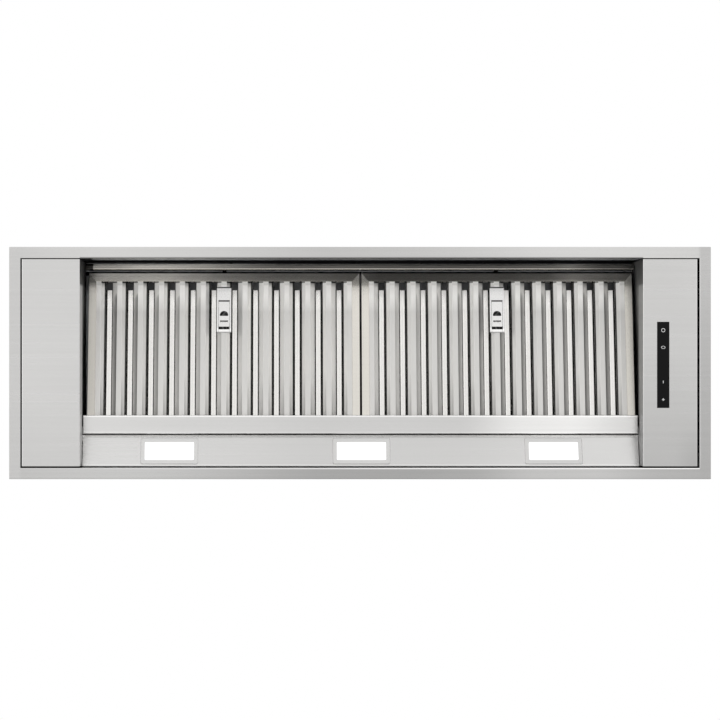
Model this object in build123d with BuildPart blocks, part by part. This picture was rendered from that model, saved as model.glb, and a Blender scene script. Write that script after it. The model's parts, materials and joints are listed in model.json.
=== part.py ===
from build123d import *
import os
from math import acos, atan2, cos, degrees, hypot, radians, sin, tan

# A built-in range hood that fits up into a cabinet, all sizes in millimetres.
# X runs along the hood, to the cook's right. Y runs from the front to the rear.
# Z points up. The origin is the centre of the flange's seat against the cabinet.

# Flange frame and folded body
frame_length = 1160.0
frame_depth = 384.0
flange_width = 18.5
flange_sheet = 1.2
return_height = 30.0
frame_corner_radius = 1.0
body_sheet = 1.0
body_height = 150.0
panel_lift = 3.0
fixing_hole_radius = 2.75
fixing_hole_height = 18.0
fixing_hole_pitch = 240.0

# Side boxes and their covers
left_cover_width = 95.5
right_cover_width = 89.4
left_cover_gap = 2.6
right_cover_gap = 4.1
cover_front_gap = 1.8
cover_rear_gap = 2.8
cover_return = 12.0
box_flange = 12.0
stud_radius = 2.0
stud_length = 9.0
stud_inset = 6.0
stud_end_inset = 41.0
nut_flats = 7.0
nut_height = 3.2
stud_clearance = 0.2
nut_clearance = 0.05
box_rivet_end_inset = 51.0

# Rails across the opening, from the rear wall to the front wall
light_rail_wall_gap = 1.0
light_rail_depth = 52.4
light_rail_low = 38.0
light_rail_high = 58.0
rail_gap = 1.8
rest_rail_depth = 31.4
rest_rail_level = 48.5
rest_rail_left_gap = 2.4
rest_rail_right_gap = 3.0
light_rail_end_gap = 1.2
rail_wall_top = 74.0
rest_ledge = 6.0
ledge_bend = 2.0
light_rail_bend = 1.2
tab_height = 14.0
tab_length = 12.0
lip_wall_gap = 4.8
lip_depth = 11.4
lip_rise = 5.1
lip_end_gap = 2.0
lip_bend = 4.0
lip_flange = 10.0
lip_rivet_end_inset = 33.7
lip_rivet_box_gap = 30.0

# Baffle filters
hinge_height = 51.5
filter_slope = 11.0
filter_lap = 14.0
filter_thickness = 22.0
filter_sheet = 1.0
filter_front_gap = 4.6
filter_left_gap = 7.6
filter_right_gap = 5.8
filter_middle_gap = 2.4
rest_gap = 0.3
rail_flange = 14.8
stile_flange = 13.0
back_flange = 9.0
mitre_groove = 0.5
mitre_depth = 0.4
drain_slot_length = 22.0
drain_slot_width = 4.0
drain_slot_pitch = 70.6
drain_slot_count = 6
baffle_sheet = 0.8
baffle_pitch = 35.3
baffle_web = 8.3
baffle_shoulder = 7.7
shoulder_angle = 45.0
baffle_return = 3.0
baffle_bend = 1.2
baffle_end_gap = 0.3
air_window_width = 12.0
air_window_low = 25.5
air_window_high = 12.0

# Filter latch, set back from the filter's front edge
latch_plate_width = 24.0
latch_plate_front = 25.0
latch_plate_rear = 102.9
latch_plate_proud = 0.2
latch_travel = 4.5
latch_window_front = 53.0
latch_window_rear = 101.0
latch_window_gap = 0.3
slider_width = 18.2
slider_front = 47.6
slider_rear = 92.7
slider_sheet = 0.9
slider_gap = 0.3
slider_corner = 1.0
slider_wing = 2.4
slider_wing_length = 6.0
slider_wing_pitch = 28.0
pull_hole_front = 65.8
pull_hole_radius = 7.0
pull_hole_straight = 1.5
pull_slot_front = 82.2
pull_slot_length = 2.7
pull_slot_width = 15.0
pull_lip_height = 2.2
upright_front = 55.8
tongue_width = 7.0
tongue_sheet = 1.2
tongue_level = 13.0
tongue_hold = 1.5
tongue_lip_gap = 0.4
spring_width = 5.0
spring_sheet = 0.5
spring_half = 2.6
spring_level = 2.6
spring_folds = 8

# Lamps in the light rail
lamp_count = 3
lamp_pitch = 321.0
lamp_offset = 1.4
lamp_rear_shift = 0.8
bezel_length = 96.0
bezel_width = 46.4
bezel_proud = 1.0
bezel_radius = 3.0
bezel_taper = 30.0
lens_length = 82.0
lens_width = 31.4
lens_thickness = 2.0
lens_radius = 2.0
lens_gap = 0.1
lens_recess = 0.4
lamp_neck_wall = 2.0
lamp_neck_depth = 9.0
lamp_cut_gap = 0.3
lamp_back_depth = 9.0
lamp_back_wall = 1.6
lamp_seat = 2.2
lamp_board_thickness = 1.6
lamp_chip = 4.0
lamp_chip_count = 6
clip_width = 10.0
clip_sheet = 0.6
clip_reach = 6.0
clip_drop = 5.0
clip_foot = 2.0

# Touch control in the right cover
glass_width = 19.9
glass_length = 142.0
glass_thickness = 3.0
glass_proud = 0.5
glass_radius = 1.5
glass_gap = 0.25
glass_end_inset = 60.3
glass_middle_y = 3.1
glass_edge_chamfer = 0.3
control_board_thickness = 1.6
control_chip_height = 2.5
control_case_margin = 7.0
control_case_height = 13.0
control_case_wall = 1.8

# Blower box, its lid and the duct spigot
blower_box_length = 540.0
blower_edge_gap = 0.7
blower_box_height = 180.0
blower_flange = 10.0
deck_hole_margin = 11.0
lid_skirt = 12.0
lid_screw_pitch = 220.0
lid_screw_count = 3
spigot_radius = 75.0
spigot_sheet = 1.0
spigot_height = 46.0
spigot_flange = 16.0
spigot_stop = 4.0
spigot_screw_count = 6
damper_level = 12.0
damper_pin_radius = 2.0
damper_pin_gap = 0.08
damper_knuckle_wall = 0.9
damper_knuckle_gap = 0.4
damper_sheet = 0.8
damper_edge_gap = 1.5
damper_stop_gap = 0.3
damper_boss = 4.0
knuckle_length = 30.0

# Centrifugal blower
impeller_radius = 75.0
impeller_width = 90.0
blade_count = 32
blade_depth = 13.0
blade_sheet = 1.2
blade_lean = 38.0
blade_bow = 2.6
blade_inset = 0.8
rim_sheet = 2.0
disc_sheet = 2.5
hub_radius = 11.0
hub_length = 22.0
shaft_depth = 30.0
impeller_nut_flats = 13.0
impeller_nut_height = 6.5
shaft_radius = 4.0
shaft_gap = 0.05
scroll_sheet = 1.0
scroll_width = 106.0
scroll_clearance = 7.0
scroll_growth = 9.0
outlet_width = 80.0
outlet_y = -35.0
outlet_flange = 12.0
outlet_screw_pitch = 50.0
inlet_radius = 63.0
inlet_collar = 3.0
scroll_middle_height = 236.0
motor_radius = 42.0
motor_hub_gap = 3.0
motor_fin_count = 24
motor_groove_depth = 2.0
motor_groove_width = 3.0
motor_groove_length = 40.0
motor_cap_depth = 8.0
motor_nose_radius = 30.0
motor_screw_length = 12.0
bracket_arms = 3
bracket_sheet = 2.0
bracket_ring = 8.0
bracket_arm_width = 14.0
bush_radius = 7.0
bush_height = 6.0
bush_offset = 31.0

# Electrics on the deck
control_box_length = 170.0
control_box_depth = 110.0
control_box_height = 58.0
control_box_sheet = 1.0
board_thickness = 1.6
board_margin = 12.0
board_depth = 60.0
board_edge_gap = 4.0
control_lid_skirt = 9.0
transformer_width = 36.0
transformer_height = 30.0
relay_length = 28.0
relay_width = 12.0
relay_pitch = 18.0
board_standoff = 8.0
standoff_radius = 3.0
capacitor_radius = 15.0
capacitor_length = 62.0
capacitor_chamfer = 1.2
terminal_length = 44.0
terminal_depth = 18.0
terminal_height = 16.0
terminal_ways = 4
terminal_screw_radius = 2.2
driver_length = 124.0
driver_depth = 46.0
driver_height = 28.0
driver_chamfer = 1.5
driver_ear = 10.0
driver_ear_thickness = 3.0
driver_rib_pitch = 10.0
driver_rib_count = 9
gland_radius = 11.0
gland_bore = 4.5
gland_length = 22.0
gland_flats = 24.0
gland_chamfer = 2.0
gland_wall_gap = 0.2
gland_level = 30.0
gland_thread_radius = 8.0
gland_thread_length = 12.0
gland_nut_height = 5.0

# Fasteners
rivet_radius = 2.0
rivet_head_radius = 3.6
rivet_head = 1.1
rivet_tail = 2.0
rivet_gap = 0.05
deck_rivet_count = 5
deck_rivet_inset = 3.6
screw_radius = 2.0
screw_head_radius = 3.8
screw_head = 2.2
screw_length = 8.0
screw_socket_flats = 2.5
screw_socket_depth = 1.2

# Places that follow from the sizes above
inner_x = frame_length / 2 - flange_width
inner_y = frame_depth / 2 - flange_width
return_x = inner_x + flange_sheet
return_y = inner_y + flange_sheet
body_x = return_x + body_sheet
body_y = return_y + body_sheet
deck_top = body_height
blower_box_depth = 2 * (body_y - blower_edge_gap - blower_flange)
glass_middle_x = inner_x - glass_end_inset
control_box_middle_x = (blower_box_length / 2 + blower_flange + body_x) / 2
driver_middle_x = -control_box_middle_x
deck_underside = deck_top - body_sheet
opening_left = -inner_x + left_cover_gap + left_cover_width
opening_right = inner_x - right_cover_gap - right_cover_width
opening_length = opening_right - opening_left
opening_middle = (opening_left + opening_right) / 2
cover_front = -inner_y + cover_front_gap
cover_rear = inner_y - cover_rear_gap
cover_depth = cover_rear - cover_front
cover_middle_y = (cover_front + cover_rear) / 2
stud_row = cover_depth - 2 * stud_end_inset
box_rivet_row = cover_depth - 2 * box_rivet_end_inset
left_stud_x = opening_left - stud_inset
right_stud_x = opening_right + stud_inset
rivet_hole_radius = rivet_radius + rivet_gap
screw_hole_radius = screw_radius + rivet_gap

# The rails, and the filter's hinge line in the roll of the rest rail's edge
light_rail_rear = inner_y - light_rail_wall_gap
light_rail_front = light_rail_rear - light_rail_depth
light_rail_start = opening_left + light_rail_end_gap
light_rail_end = opening_right - light_rail_end_gap
rest_rail_rear = light_rail_front - rail_gap
rest_edge = rest_rail_rear - rest_rail_depth
rest_rail_start = opening_left + rest_rail_left_gap
rest_rail_end = opening_right - rest_rail_right_gap
tab_rivet_height = rail_wall_top - tab_height / 2
rest_tab_y = rest_rail_rear - tab_length / 2
light_front_tab_y = light_rail_front + tab_length / 2
light_rear_tab_y = light_rail_rear - tab_length / 2
rail_tab_places = (rest_tab_y, light_front_tab_y, light_rear_tab_y)
slope_sin = sin(radians(filter_slope))
slope_cos = cos(radians(filter_slope))
slope_tan = tan(radians(filter_slope))
hinge_y = rest_edge + ledge_bend
ledge_corner_z = hinge_height + ledge_bend * (1 + slope_sin) / slope_cos
filter_edge_y = hinge_y + (ledge_bend + rest_gap) * slope_sin
filter_edge_z = hinge_height + (ledge_bend + rest_gap) * slope_cos

# The lip rail and the filters that close up behind it
lip_outer = -inner_y + lip_wall_gap
lip_inner = lip_outer + lip_depth
lip_start = opening_left + lip_end_gap
lip_end = opening_right - lip_end_gap
lip_rivet_y = lip_outer + lip_flange / 2
lip_rivet_far = lip_end - lip_start - 2 * lip_rivet_end_inset
lip_rivet_near = blower_box_length + 2 * blower_flange + 2 * lip_rivet_box_gap
filter_front = lip_inner + filter_front_gap
filter_reach = (filter_edge_y - filter_front) / slope_cos
filter_length = filter_reach + filter_lap
filter_middle = (filter_reach - filter_lap) / 2
lip_level = filter_edge_z + filter_reach * slope_sin + lip_rise
tongue_y = filter_edge_y + tongue_level * slope_sin
lip_top = filter_edge_z + tongue_level * slope_cos + (tongue_y - lip_inner) * slope_tan - tongue_lip_gap
tongue_end = (tongue_y - lip_inner + tongue_hold) / slope_cos
filter_width = (opening_length - filter_left_gap - filter_right_gap - filter_middle_gap) / 2
left_filter_x = opening_left + filter_left_gap + filter_width / 2
right_filter_x = opening_right - filter_right_gap - filter_width / 2
baffle_half = baffle_web / 2 + baffle_shoulder
baffle_pairs = int((filter_width / 2 - baffle_half - filter_sheet) / baffle_pitch)
baffle_length = filter_length - 2 * filter_sheet - 2 * baffle_end_gap

# Places along the filter's slope, measured up from its rest edge
latch_plate_low = filter_reach - latch_plate_rear
latch_plate_high = filter_reach - latch_plate_front
latch_window_low = filter_reach - latch_window_rear
latch_window_high = filter_reach - latch_window_front
slider_low = filter_reach - slider_rear
slider_high = filter_reach - slider_front
slider_window_low = slider_low - latch_travel - slider_gap
slider_window_high = slider_high + slider_gap
slider_window_width = slider_width + 2 * slider_gap
pull_hole_high = filter_reach - pull_hole_front
pull_slot_high = filter_reach - pull_slot_front
upright_high = filter_reach - upright_front
upright_low = upright_high - tongue_sheet

# The lamps' places in the rail's sloped face
lamp_slope = atan2(light_rail_high - light_rail_low, light_rail_depth)
lamp_centre_y = (light_rail_front + light_rail_rear) / 2 + lamp_rear_shift * cos(lamp_slope)
lamp_centre_z = (light_rail_high + light_rail_low) / 2 - lamp_rear_shift * sin(lamp_slope)
lamp_centre = Vector(opening_middle + lamp_offset, lamp_centre_y, lamp_centre_z)
lamp_outward = Vector(0, -sin(lamp_slope), -cos(lamp_slope))
lens_face = bezel_proud - lens_recess
lens_back = lens_face - lens_thickness
lamp_window_length = lens_length + 2 * lens_gap
lamp_window_width = lens_width + 2 * lens_gap
lamp_neck_length = lamp_window_length + 2 * lamp_neck_wall
lamp_neck_width = lamp_window_width + 2 * lamp_neck_wall
lamp_cut_length = lamp_neck_length + 2 * lamp_cut_gap
lamp_cut_width = lamp_neck_width + 2 * lamp_cut_gap
lamp_seat_length = lens_length - 2 * lens_radius
lamp_seat_width = lens_width - 2 * lens_radius
lamp_pocket_length = lamp_seat_length - 2 * lamp_seat
lamp_pocket_width = lamp_seat_width - 2 * lamp_seat
lamp_floor = -lamp_neck_depth - lamp_back_depth + lamp_back_wall

# The blower's places
lid_top = deck_top + blower_box_height
lid_underside = lid_top - body_sheet
deck_rivet_pitch = blower_box_length / deck_rivet_count
deck_rivet_row = blower_box_depth + 2 * (blower_flange - deck_rivet_inset)
outlet_front = outlet_y - outlet_width / 2
outlet_rear = outlet_y + outlet_width / 2
scroll_y = outlet_front + impeller_radius + scroll_clearance + 3 * scroll_growth
motor_end = scroll_width / 2 + scroll_sheet + bush_height
motor_start = -disc_sheet / 2 - motor_hub_gap
hub_end = hub_length - disc_sheet / 2
outlet_screw_row = scroll_width + 2 * scroll_sheet + outlet_flange
spigot_screw_radius = spigot_radius + spigot_flange / 2
bush_centre_radius = motor_radius + bush_offset
damper_height = lid_top + damper_level
pin_half = spigot_radius - spigot_sheet - damper_pin_gap

os.makedirs("parts", exist_ok=True)


def save(builder, label):
    # label a finished piece and write it
    builder.part.label = label
    export_step(builder.part, f"parts/{label}.step")


def across_plane(x=0.0):
    # a section plane square to the hood's length, drawn in (Y, Z)
    return Plane(origin=(x, 0, 0), x_dir=(0, 1, 0), z_dir=(1, 0, 0))


def along_plane(y=0.0):
    # a section plane square to the hood's depth, drawn in (X, Z)
    return Plane(origin=(0, y, 0), x_dir=(1, 0, 0), z_dir=(0, -1, 0))


def left_normal(start, end):
    run = Vector(*end) - Vector(*start)
    return Vector(-run.Y, run.X).normalized()


def inset_points(points, inset):
    # a folded path moved over to its left, with every fold kept in line
    normals = [left_normal(start, end) for start, end in zip(points, points[1:])]
    corners = zip(points, normals[:1] + normals, normals + normals[-1:])
    return [Vector(*point) + (near + far) * (inset / (1 + near.dot(far))) for point, near, far in corners]


def filter_plan(x, level=0.0):
    # the filter's own plan, drawn in (X, up the slope), level above its underside
    edge = Vector(x, filter_edge_y, filter_edge_z)
    up = Vector(0, slope_sin, slope_cos)
    return Plane(origin=edge + up * level, x_dir=(1, 0, 0), z_dir=(0, -slope_sin, -slope_cos))


def filter_section(x, place=0.0):
    # a section square to the filter's slope, drawn in (X, above the underside)
    edge = Vector(x, filter_edge_y, filter_edge_z)
    slope = Vector(0, -slope_cos, slope_sin)
    return Plane(origin=edge + slope * place, x_dir=(1, 0, 0), z_dir=slope)


def filter_side(x):
    # a section along the slope, drawn in (up the slope, above the underside)
    edge = Vector(x, filter_edge_y, filter_edge_z)
    return Plane(origin=edge, x_dir=(0, -slope_cos, slope_sin), z_dir=(-1, 0, 0))


def lamp_plan(level=0.0):
    # the light rail's sloped face, drawn in (X, towards the front), level outside it
    origin = lamp_centre + lamp_outward * level
    return Plane(origin=origin, x_dir=(1, 0, 0), z_dir=lamp_outward)


# Flange frame: a folded ring that lies under the cabinet, with its return walls

with BuildPart() as canopy_frame:
    with BuildSketch(Plane.XY.offset(-flange_sheet)):
        Rectangle(frame_length, frame_depth)
        Rectangle(2 * inner_x, 2 * inner_y, mode=Mode.SUBTRACT)
    extrude(amount=flange_sheet)
    with BuildSketch():
        Rectangle(2 * return_x, 2 * return_y)
        Rectangle(2 * inner_x, 2 * inner_y, mode=Mode.SUBTRACT)
    extrude(amount=return_height)
    outer_corners = canopy_frame.edges().filter_by(Axis.Z).group_by(SortBy.DISTANCE)[-1]
    fillet(outer_corners, radius=frame_corner_radius)
    with Locations(Plane(origin=(0, 0, fixing_hole_height), z_dir=(1, 0, 0), x_dir=(0, 1, 0))):
        with GridLocations(fixing_hole_pitch, 0, 2, 1):
            Cylinder(fixing_hole_radius, frame_length, mode=Mode.SUBTRACT)
save(canopy_frame, "canopy_frame")


# Body panels, lapped outside the return walls and closed by the deck

def long_panel(side):
    with BuildPart() as panel:
        with BuildSketch(Plane.XY.offset(panel_lift)):
            with Locations((0, side * (return_y + body_sheet / 2))):
                Rectangle(2 * body_x, body_sheet)
        extrude(amount=deck_underside - panel_lift)
    return panel


def end_panel(side):
    with BuildPart() as panel:
        with BuildSketch(Plane.XY.offset(panel_lift)):
            with Locations((side * (return_x + body_sheet / 2), 0)):
                Rectangle(body_sheet, 2 * return_y)
        extrude(amount=deck_underside - panel_lift)
        with Locations(Plane(origin=(0, 0, fixing_hole_height), z_dir=(1, 0, 0), x_dir=(0, 1, 0))):
            with GridLocations(fixing_hole_pitch, 0, 2, 1):
                Cylinder(fixing_hole_radius, frame_length, mode=Mode.SUBTRACT)
    return panel


save(long_panel(-1), "front_panel")
save(long_panel(1), "rear_panel")
save(end_panel(-1), "left_end_panel")
save(end_panel(1), "right_end_panel")

with BuildPart() as deck_plate:
    with BuildSketch(Plane.XY.offset(deck_underside)):
        Rectangle(2 * body_x, 2 * body_y)
        Rectangle(
            blower_box_length - 2 * deck_hole_margin,
            blower_box_depth - 2 * deck_hole_margin,
            mode=Mode.SUBTRACT,
        )
        with GridLocations(deck_rivet_pitch, deck_rivet_row, deck_rivet_count, 2):
            Circle(rivet_hole_radius, mode=Mode.SUBTRACT)
        for spread in (lip_rivet_near, lip_rivet_far):
            with Locations((opening_middle, lip_rivet_y)):
                with GridLocations(spread, 0, 2, 1):
                    Circle(rivet_hole_radius, mode=Mode.SUBTRACT)
        with Locations((opening_middle, cover_middle_y)):
            with GridLocations(opening_length + box_flange, box_rivet_row, 2, 2):
                Circle(rivet_hole_radius, mode=Mode.SUBTRACT)
    extrude(amount=body_sheet)
save(deck_plate, "deck_plate")


# Side boxes: the walls that bound the opening, and the covers under them

def box_wall(x, side):
    # side is -1 for the left box, whose flanges point to the hood's left end
    folds = (
        (x + side * box_flange, 0),
        (x, 0),
        (x, deck_underside),
        (x + side * box_flange, deck_underside),
    )
    with BuildPart() as wall:
        with BuildSketch(along_plane(cover_rear)):
            with BuildLine() as path:
                FilletPolyline(*inset_points(folds, -side * body_sheet / 2), radius=body_sheet)
            trace(path.line, line_width=body_sheet)
        extrude(amount=cover_depth)
        with Locations((x + side * stud_inset, cover_middle_y, 0)):
            with GridLocations(0, stud_row, 1, 2):
                Cylinder(stud_radius + stud_clearance, 3 * body_sheet, mode=Mode.SUBTRACT)
        with Locations((x + side * box_flange / 2, cover_middle_y, deck_underside)):
            with GridLocations(0, box_rivet_row, 1, 2):
                Cylinder(rivet_hole_radius, 3 * body_sheet, mode=Mode.SUBTRACT)
        for tab_y in rail_tab_places:
            with Locations(Plane(origin=(x, tab_y, tab_rivet_height), z_dir=(1, 0, 0))):
                Cylinder(rivet_hole_radius, 3 * body_sheet, mode=Mode.SUBTRACT)
    return wall


def cover_tray(outer_x, inner_x_edge, stud_x):
    width = abs(inner_x_edge - outer_x)
    middle = (outer_x + inner_x_edge) / 2
    side = -1 if outer_x < inner_x_edge else 1
    with BuildPart() as cover:
        with BuildSketch(Plane.XY.offset(-flange_sheet)):
            with Locations((middle, cover_middle_y)):
                Rectangle(width, cover_depth)
        extrude(amount=flange_sheet)
        with BuildSketch():
            with Locations((middle, cover_middle_y)):
                Rectangle(width, cover_depth)
            with Locations((middle - side * (box_flange + body_sheet) / 2, cover_middle_y)):
                Rectangle(width + box_flange + body_sheet, cover_depth - 2 * body_sheet, mode=Mode.SUBTRACT)
            with Locations((outer_x - side * body_sheet / 2, cover_middle_y)):
                Rectangle(body_sheet, cover_depth)
            with Locations((inner_x_edge + side * box_flange / 2, cover_middle_y)):
                Rectangle(box_flange, cover_depth, mode=Mode.SUBTRACT)
        extrude(amount=cover_return)
        with BuildSketch():
            with Locations((stud_x, cover_middle_y)):
                with GridLocations(0, stud_row, 1, 2):
                    Circle(stud_radius)
        extrude(amount=stud_length)
    return cover


save(box_wall(opening_left, -1), "left_box_wall")
save(box_wall(opening_right, 1), "right_box_wall")
save(cover_tray(-inner_x + left_cover_gap, opening_left, left_stud_x), "left_side_cover")

with BuildPart() as control_side_cover:
    add(cover_tray(inner_x - right_cover_gap, opening_right, right_stud_x).part)
    with BuildSketch(Plane.XY.offset(-flange_sheet)):
        with Locations((glass_middle_x, glass_middle_y)):
            Rectangle(glass_width + 2 * glass_gap, glass_length + 2 * glass_gap)
    extrude(amount=flange_sheet, mode=Mode.SUBTRACT)
save(control_side_cover, "control_side_cover")

with BuildPart() as cover_nuts:
    for stud_x in (left_stud_x, right_stud_x):
        with BuildSketch(Plane.XY.offset(body_sheet)):
            with Locations((stud_x, cover_middle_y)):
                with GridLocations(0, stud_row, 1, 2):
                    RegularPolygon(nut_flats / 2, 6, major_radius=False)
                    Circle(stud_radius + nut_clearance, mode=Mode.SUBTRACT)
        extrude(amount=nut_height)
save(cover_nuts, "cover_nuts")


# Touch control: glass, board and the case that closes it behind the cover

glass_back = -flange_sheet - glass_proud + glass_thickness
case_length = glass_length + 2 * control_case_margin
case_width = glass_width + 2 * control_case_margin

with BuildPart() as touch_glass:
    with BuildSketch(Plane.XY.offset(-flange_sheet - glass_proud)):
        with Locations((glass_middle_x, glass_middle_y)):
            RectangleRounded(glass_width, glass_length, glass_radius)
    extrude(amount=glass_thickness)
    chamfer(touch_glass.faces().sort_by(Axis.Z)[0].edges(), length=glass_edge_chamfer)
save(touch_glass, "touch_glass")

with BuildPart() as touch_board:
    with BuildSketch(Plane.XY.offset(glass_back)):
        with Locations((glass_middle_x, glass_middle_y)):
            Rectangle(glass_width - 2 * glass_gap, glass_length - 2 * glass_gap)
    extrude(amount=control_board_thickness)
    with BuildSketch(Plane.XY.offset(glass_back + control_board_thickness)):
        with Locations((glass_middle_x, glass_middle_y)):
            with GridLocations(0, glass_length / 3, 1, 3):
                Rectangle(glass_width / 2, glass_length / 9)
    extrude(amount=control_chip_height)
save(touch_board, "touch_board")

with BuildPart() as touch_case:
    with BuildSketch():
        with Locations((glass_middle_x, glass_middle_y)):
            Rectangle(case_width, case_length)
    extrude(amount=control_case_height)
    with BuildSketch():
        with Locations((glass_middle_x, glass_middle_y)):
            Rectangle(glass_width + 2 * glass_gap, glass_length + 2 * glass_gap)
    extrude(amount=control_case_height - control_case_wall, mode=Mode.SUBTRACT)
    chamfer(touch_case.faces().sort_by(Axis.Z)[-1].edges(), length=control_case_wall / 2)
save(touch_case, "touch_case")


# Rails that cross the opening between the two box walls

def rail_sheet(points, start, end, bend):
    # a sheet folded along (Y, Z) points, running along X from start to end
    with BuildPart() as rail:
        with BuildSketch(across_plane(start)):
            with BuildLine() as path:
                FilletPolyline(*inset_points(points, body_sheet / 2), radius=bend - body_sheet / 2)
            trace(path.line, line_width=body_sheet)
        extrude(amount=end - start)
    return rail


def end_band(wall_middle, tab_middle):
    # a strip of the rail's wall that reaches both box walls, with a riveted tab at each end
    with BuildPart() as band:
        with BuildSketch(Plane.XY.offset(rail_wall_top - tab_height)):
            with Locations((opening_middle, wall_middle)):
                Rectangle(opening_length, body_sheet)
            with Locations((opening_left + body_sheet / 2, tab_middle)):
                Rectangle(body_sheet, tab_length)
            with Locations((opening_right - body_sheet / 2, tab_middle)):
                Rectangle(body_sheet, tab_length)
        extrude(amount=tab_height)
        with Locations(Plane(origin=(opening_middle, tab_middle, tab_rivet_height), z_dir=(1, 0, 0))):
            Cylinder(rivet_hole_radius, opening_length + body_sheet, mode=Mode.SUBTRACT)
    return band


rest_rail_points = (
    (hinge_y + rest_ledge, ledge_corner_z - (ledge_bend + rest_ledge) * slope_tan),
    (rest_edge, ledge_corner_z),
    (rest_edge, rest_rail_level),
    (rest_rail_rear, rest_rail_level),
    (rest_rail_rear, rail_wall_top),
)
light_rail_points = (
    (light_rail_front, rail_wall_top),
    (light_rail_front, light_rail_high),
    (light_rail_rear, light_rail_low),
    (light_rail_rear, rail_wall_top),
)
lip_points = (
    (lip_outer + lip_flange, deck_underside),
    (lip_outer, deck_underside),
    (lip_outer, lip_level),
    (lip_inner, lip_level),
    (lip_inner, lip_top),
)

with BuildPart() as rest_rail:
    add(rail_sheet(rest_rail_points, rest_rail_start, rest_rail_end, ledge_bend).part)
    add(end_band(rest_rail_rear - body_sheet / 2, rest_tab_y).part)
save(rest_rail, "rest_rail")

with BuildPart() as light_rail:
    add(rail_sheet(light_rail_points, light_rail_start, light_rail_end, light_rail_bend).part)
    add(end_band(light_rail_front + body_sheet / 2, light_front_tab_y).part)
    add(end_band(light_rail_rear - body_sheet / 2, light_rear_tab_y).part)
    with BuildSketch(lamp_plan(bezel_proud)):
        with GridLocations(lamp_pitch, 0, lamp_count, 1):
            Rectangle(lamp_cut_length, lamp_cut_width)
    extrude(amount=-bezel_proud - 3 * body_sheet, mode=Mode.SUBTRACT)
save(light_rail, "light_rail")

with BuildPart() as lip_rail:
    add(rail_sheet(lip_points, lip_start, lip_end, lip_bend).part)
    for spread in (lip_rivet_near, lip_rivet_far):
        with Locations((opening_middle, lip_rivet_y, deck_underside)):
            with GridLocations(spread, 0, 2, 1):
                Cylinder(rivet_hole_radius, 3 * body_sheet, mode=Mode.SUBTRACT)
save(lip_rail, "lip_rail")


# Blind rivets: a domed head on the near side, a body through the sheets and a tail

def rivet():
    with BuildPart() as one:
        with BuildSketch(Plane.XZ):
            with BuildLine():
                Polyline(
                    (0, rivet_head),
                    (0, -2 * body_sheet - rivet_tail),
                    (rivet_radius, -2 * body_sheet - rivet_tail),
                    (rivet_radius, 0),
                    (rivet_head_radius, 0),
                    (rivet_head_radius - rivet_head / 2, rivet_head),
                    close=True,
                )
            make_face()
        revolve(axis=Axis.Z)
    return one.part


with BuildPart() as blind_rivets:
    for tab_y in rail_tab_places:
        with Locations(
            Plane(origin=(opening_left + body_sheet, tab_y, tab_rivet_height), z_dir=(1, 0, 0)),
            Plane(origin=(opening_right - body_sheet, tab_y, tab_rivet_height), z_dir=(-1, 0, 0)),
        ):
            add(rivet())
    for spread in (lip_rivet_near, lip_rivet_far):
        with Locations((opening_middle, lip_rivet_y, deck_top)):
            with GridLocations(spread, 0, 2, 1):
                add(rivet())
    with Locations((opening_middle, cover_middle_y, deck_top)):
        with GridLocations(opening_length + box_flange, box_rivet_row, 2, 2):
            add(rivet())
    with Locations((0, 0, deck_top + body_sheet)):
        with GridLocations(deck_rivet_pitch, deck_rivet_row, deck_rivet_count, 2):
            add(rivet())
save(blind_rivets, "blind_rivets")


# Lamps in the light rail: bezel with a neck, lens, body, board and two spring clips each

with BuildPart() as lamp_bezels:
    with BuildSketch(lamp_plan()):
        with GridLocations(lamp_pitch, 0, lamp_count, 1):
            RectangleRounded(bezel_length, bezel_width, bezel_radius)
    extrude(amount=bezel_proud, taper=bezel_taper)
    with BuildSketch(lamp_plan()):
        with GridLocations(lamp_pitch, 0, lamp_count, 1):
            Rectangle(lamp_neck_length, lamp_neck_width)
    extrude(amount=-lamp_neck_depth)
    with BuildSketch(lamp_plan(bezel_proud)):
        with GridLocations(lamp_pitch, 0, lamp_count, 1):
            RectangleRounded(lamp_window_length, lamp_window_width, lens_radius)
    extrude(amount=-bezel_proud - lamp_neck_depth, mode=Mode.SUBTRACT)
save(lamp_bezels, "lamp_bezels")

with BuildPart() as lamp_lenses:
    with BuildSketch(lamp_plan(lens_face)):
        with GridLocations(lamp_pitch, 0, lamp_count, 1):
            RectangleRounded(lens_length, lens_width, lens_radius)
    extrude(amount=-lens_thickness)
save(lamp_lenses, "lamp_lenses")

with BuildPart() as lamp_bodies:
    with BuildSketch(lamp_plan(lens_back)):
        with GridLocations(lamp_pitch, 0, lamp_count, 1):
            Rectangle(lamp_seat_length, lamp_seat_width)
    extrude(amount=-lamp_neck_depth - lens_back)
    with BuildSketch(lamp_plan(-lamp_neck_depth)):
        with GridLocations(lamp_pitch, 0, lamp_count, 1):
            Rectangle(lamp_neck_length, lamp_neck_width)
    extrude(amount=-lamp_back_depth)
    with BuildSketch(lamp_plan(lens_back)):
        with GridLocations(lamp_pitch, 0, lamp_count, 1):
            Rectangle(lamp_pocket_length, lamp_pocket_width)
    extrude(amount=lamp_floor - lens_back, mode=Mode.SUBTRACT)
save(lamp_bodies, "lamp_bodies")

with BuildPart() as lamp_boards:
    with BuildSketch(lamp_plan(lamp_floor)):
        with GridLocations(lamp_pitch, 0, lamp_count, 1):
            Rectangle(lamp_pocket_length - 2 * lens_gap, lamp_pocket_width - 2 * lens_gap)
    extrude(amount=lamp_board_thickness)
    with BuildSketch(lamp_plan(lamp_floor + lamp_board_thickness)):
        with GridLocations(lamp_pitch, 0, lamp_count, 1):
            with GridLocations(lamp_pocket_length / lamp_chip_count, 0, lamp_chip_count, 1):
                Rectangle(lamp_chip, lamp_chip)
    extrude(amount=lamp_chip / 5)
save(lamp_boards, "lamp_boards")


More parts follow.
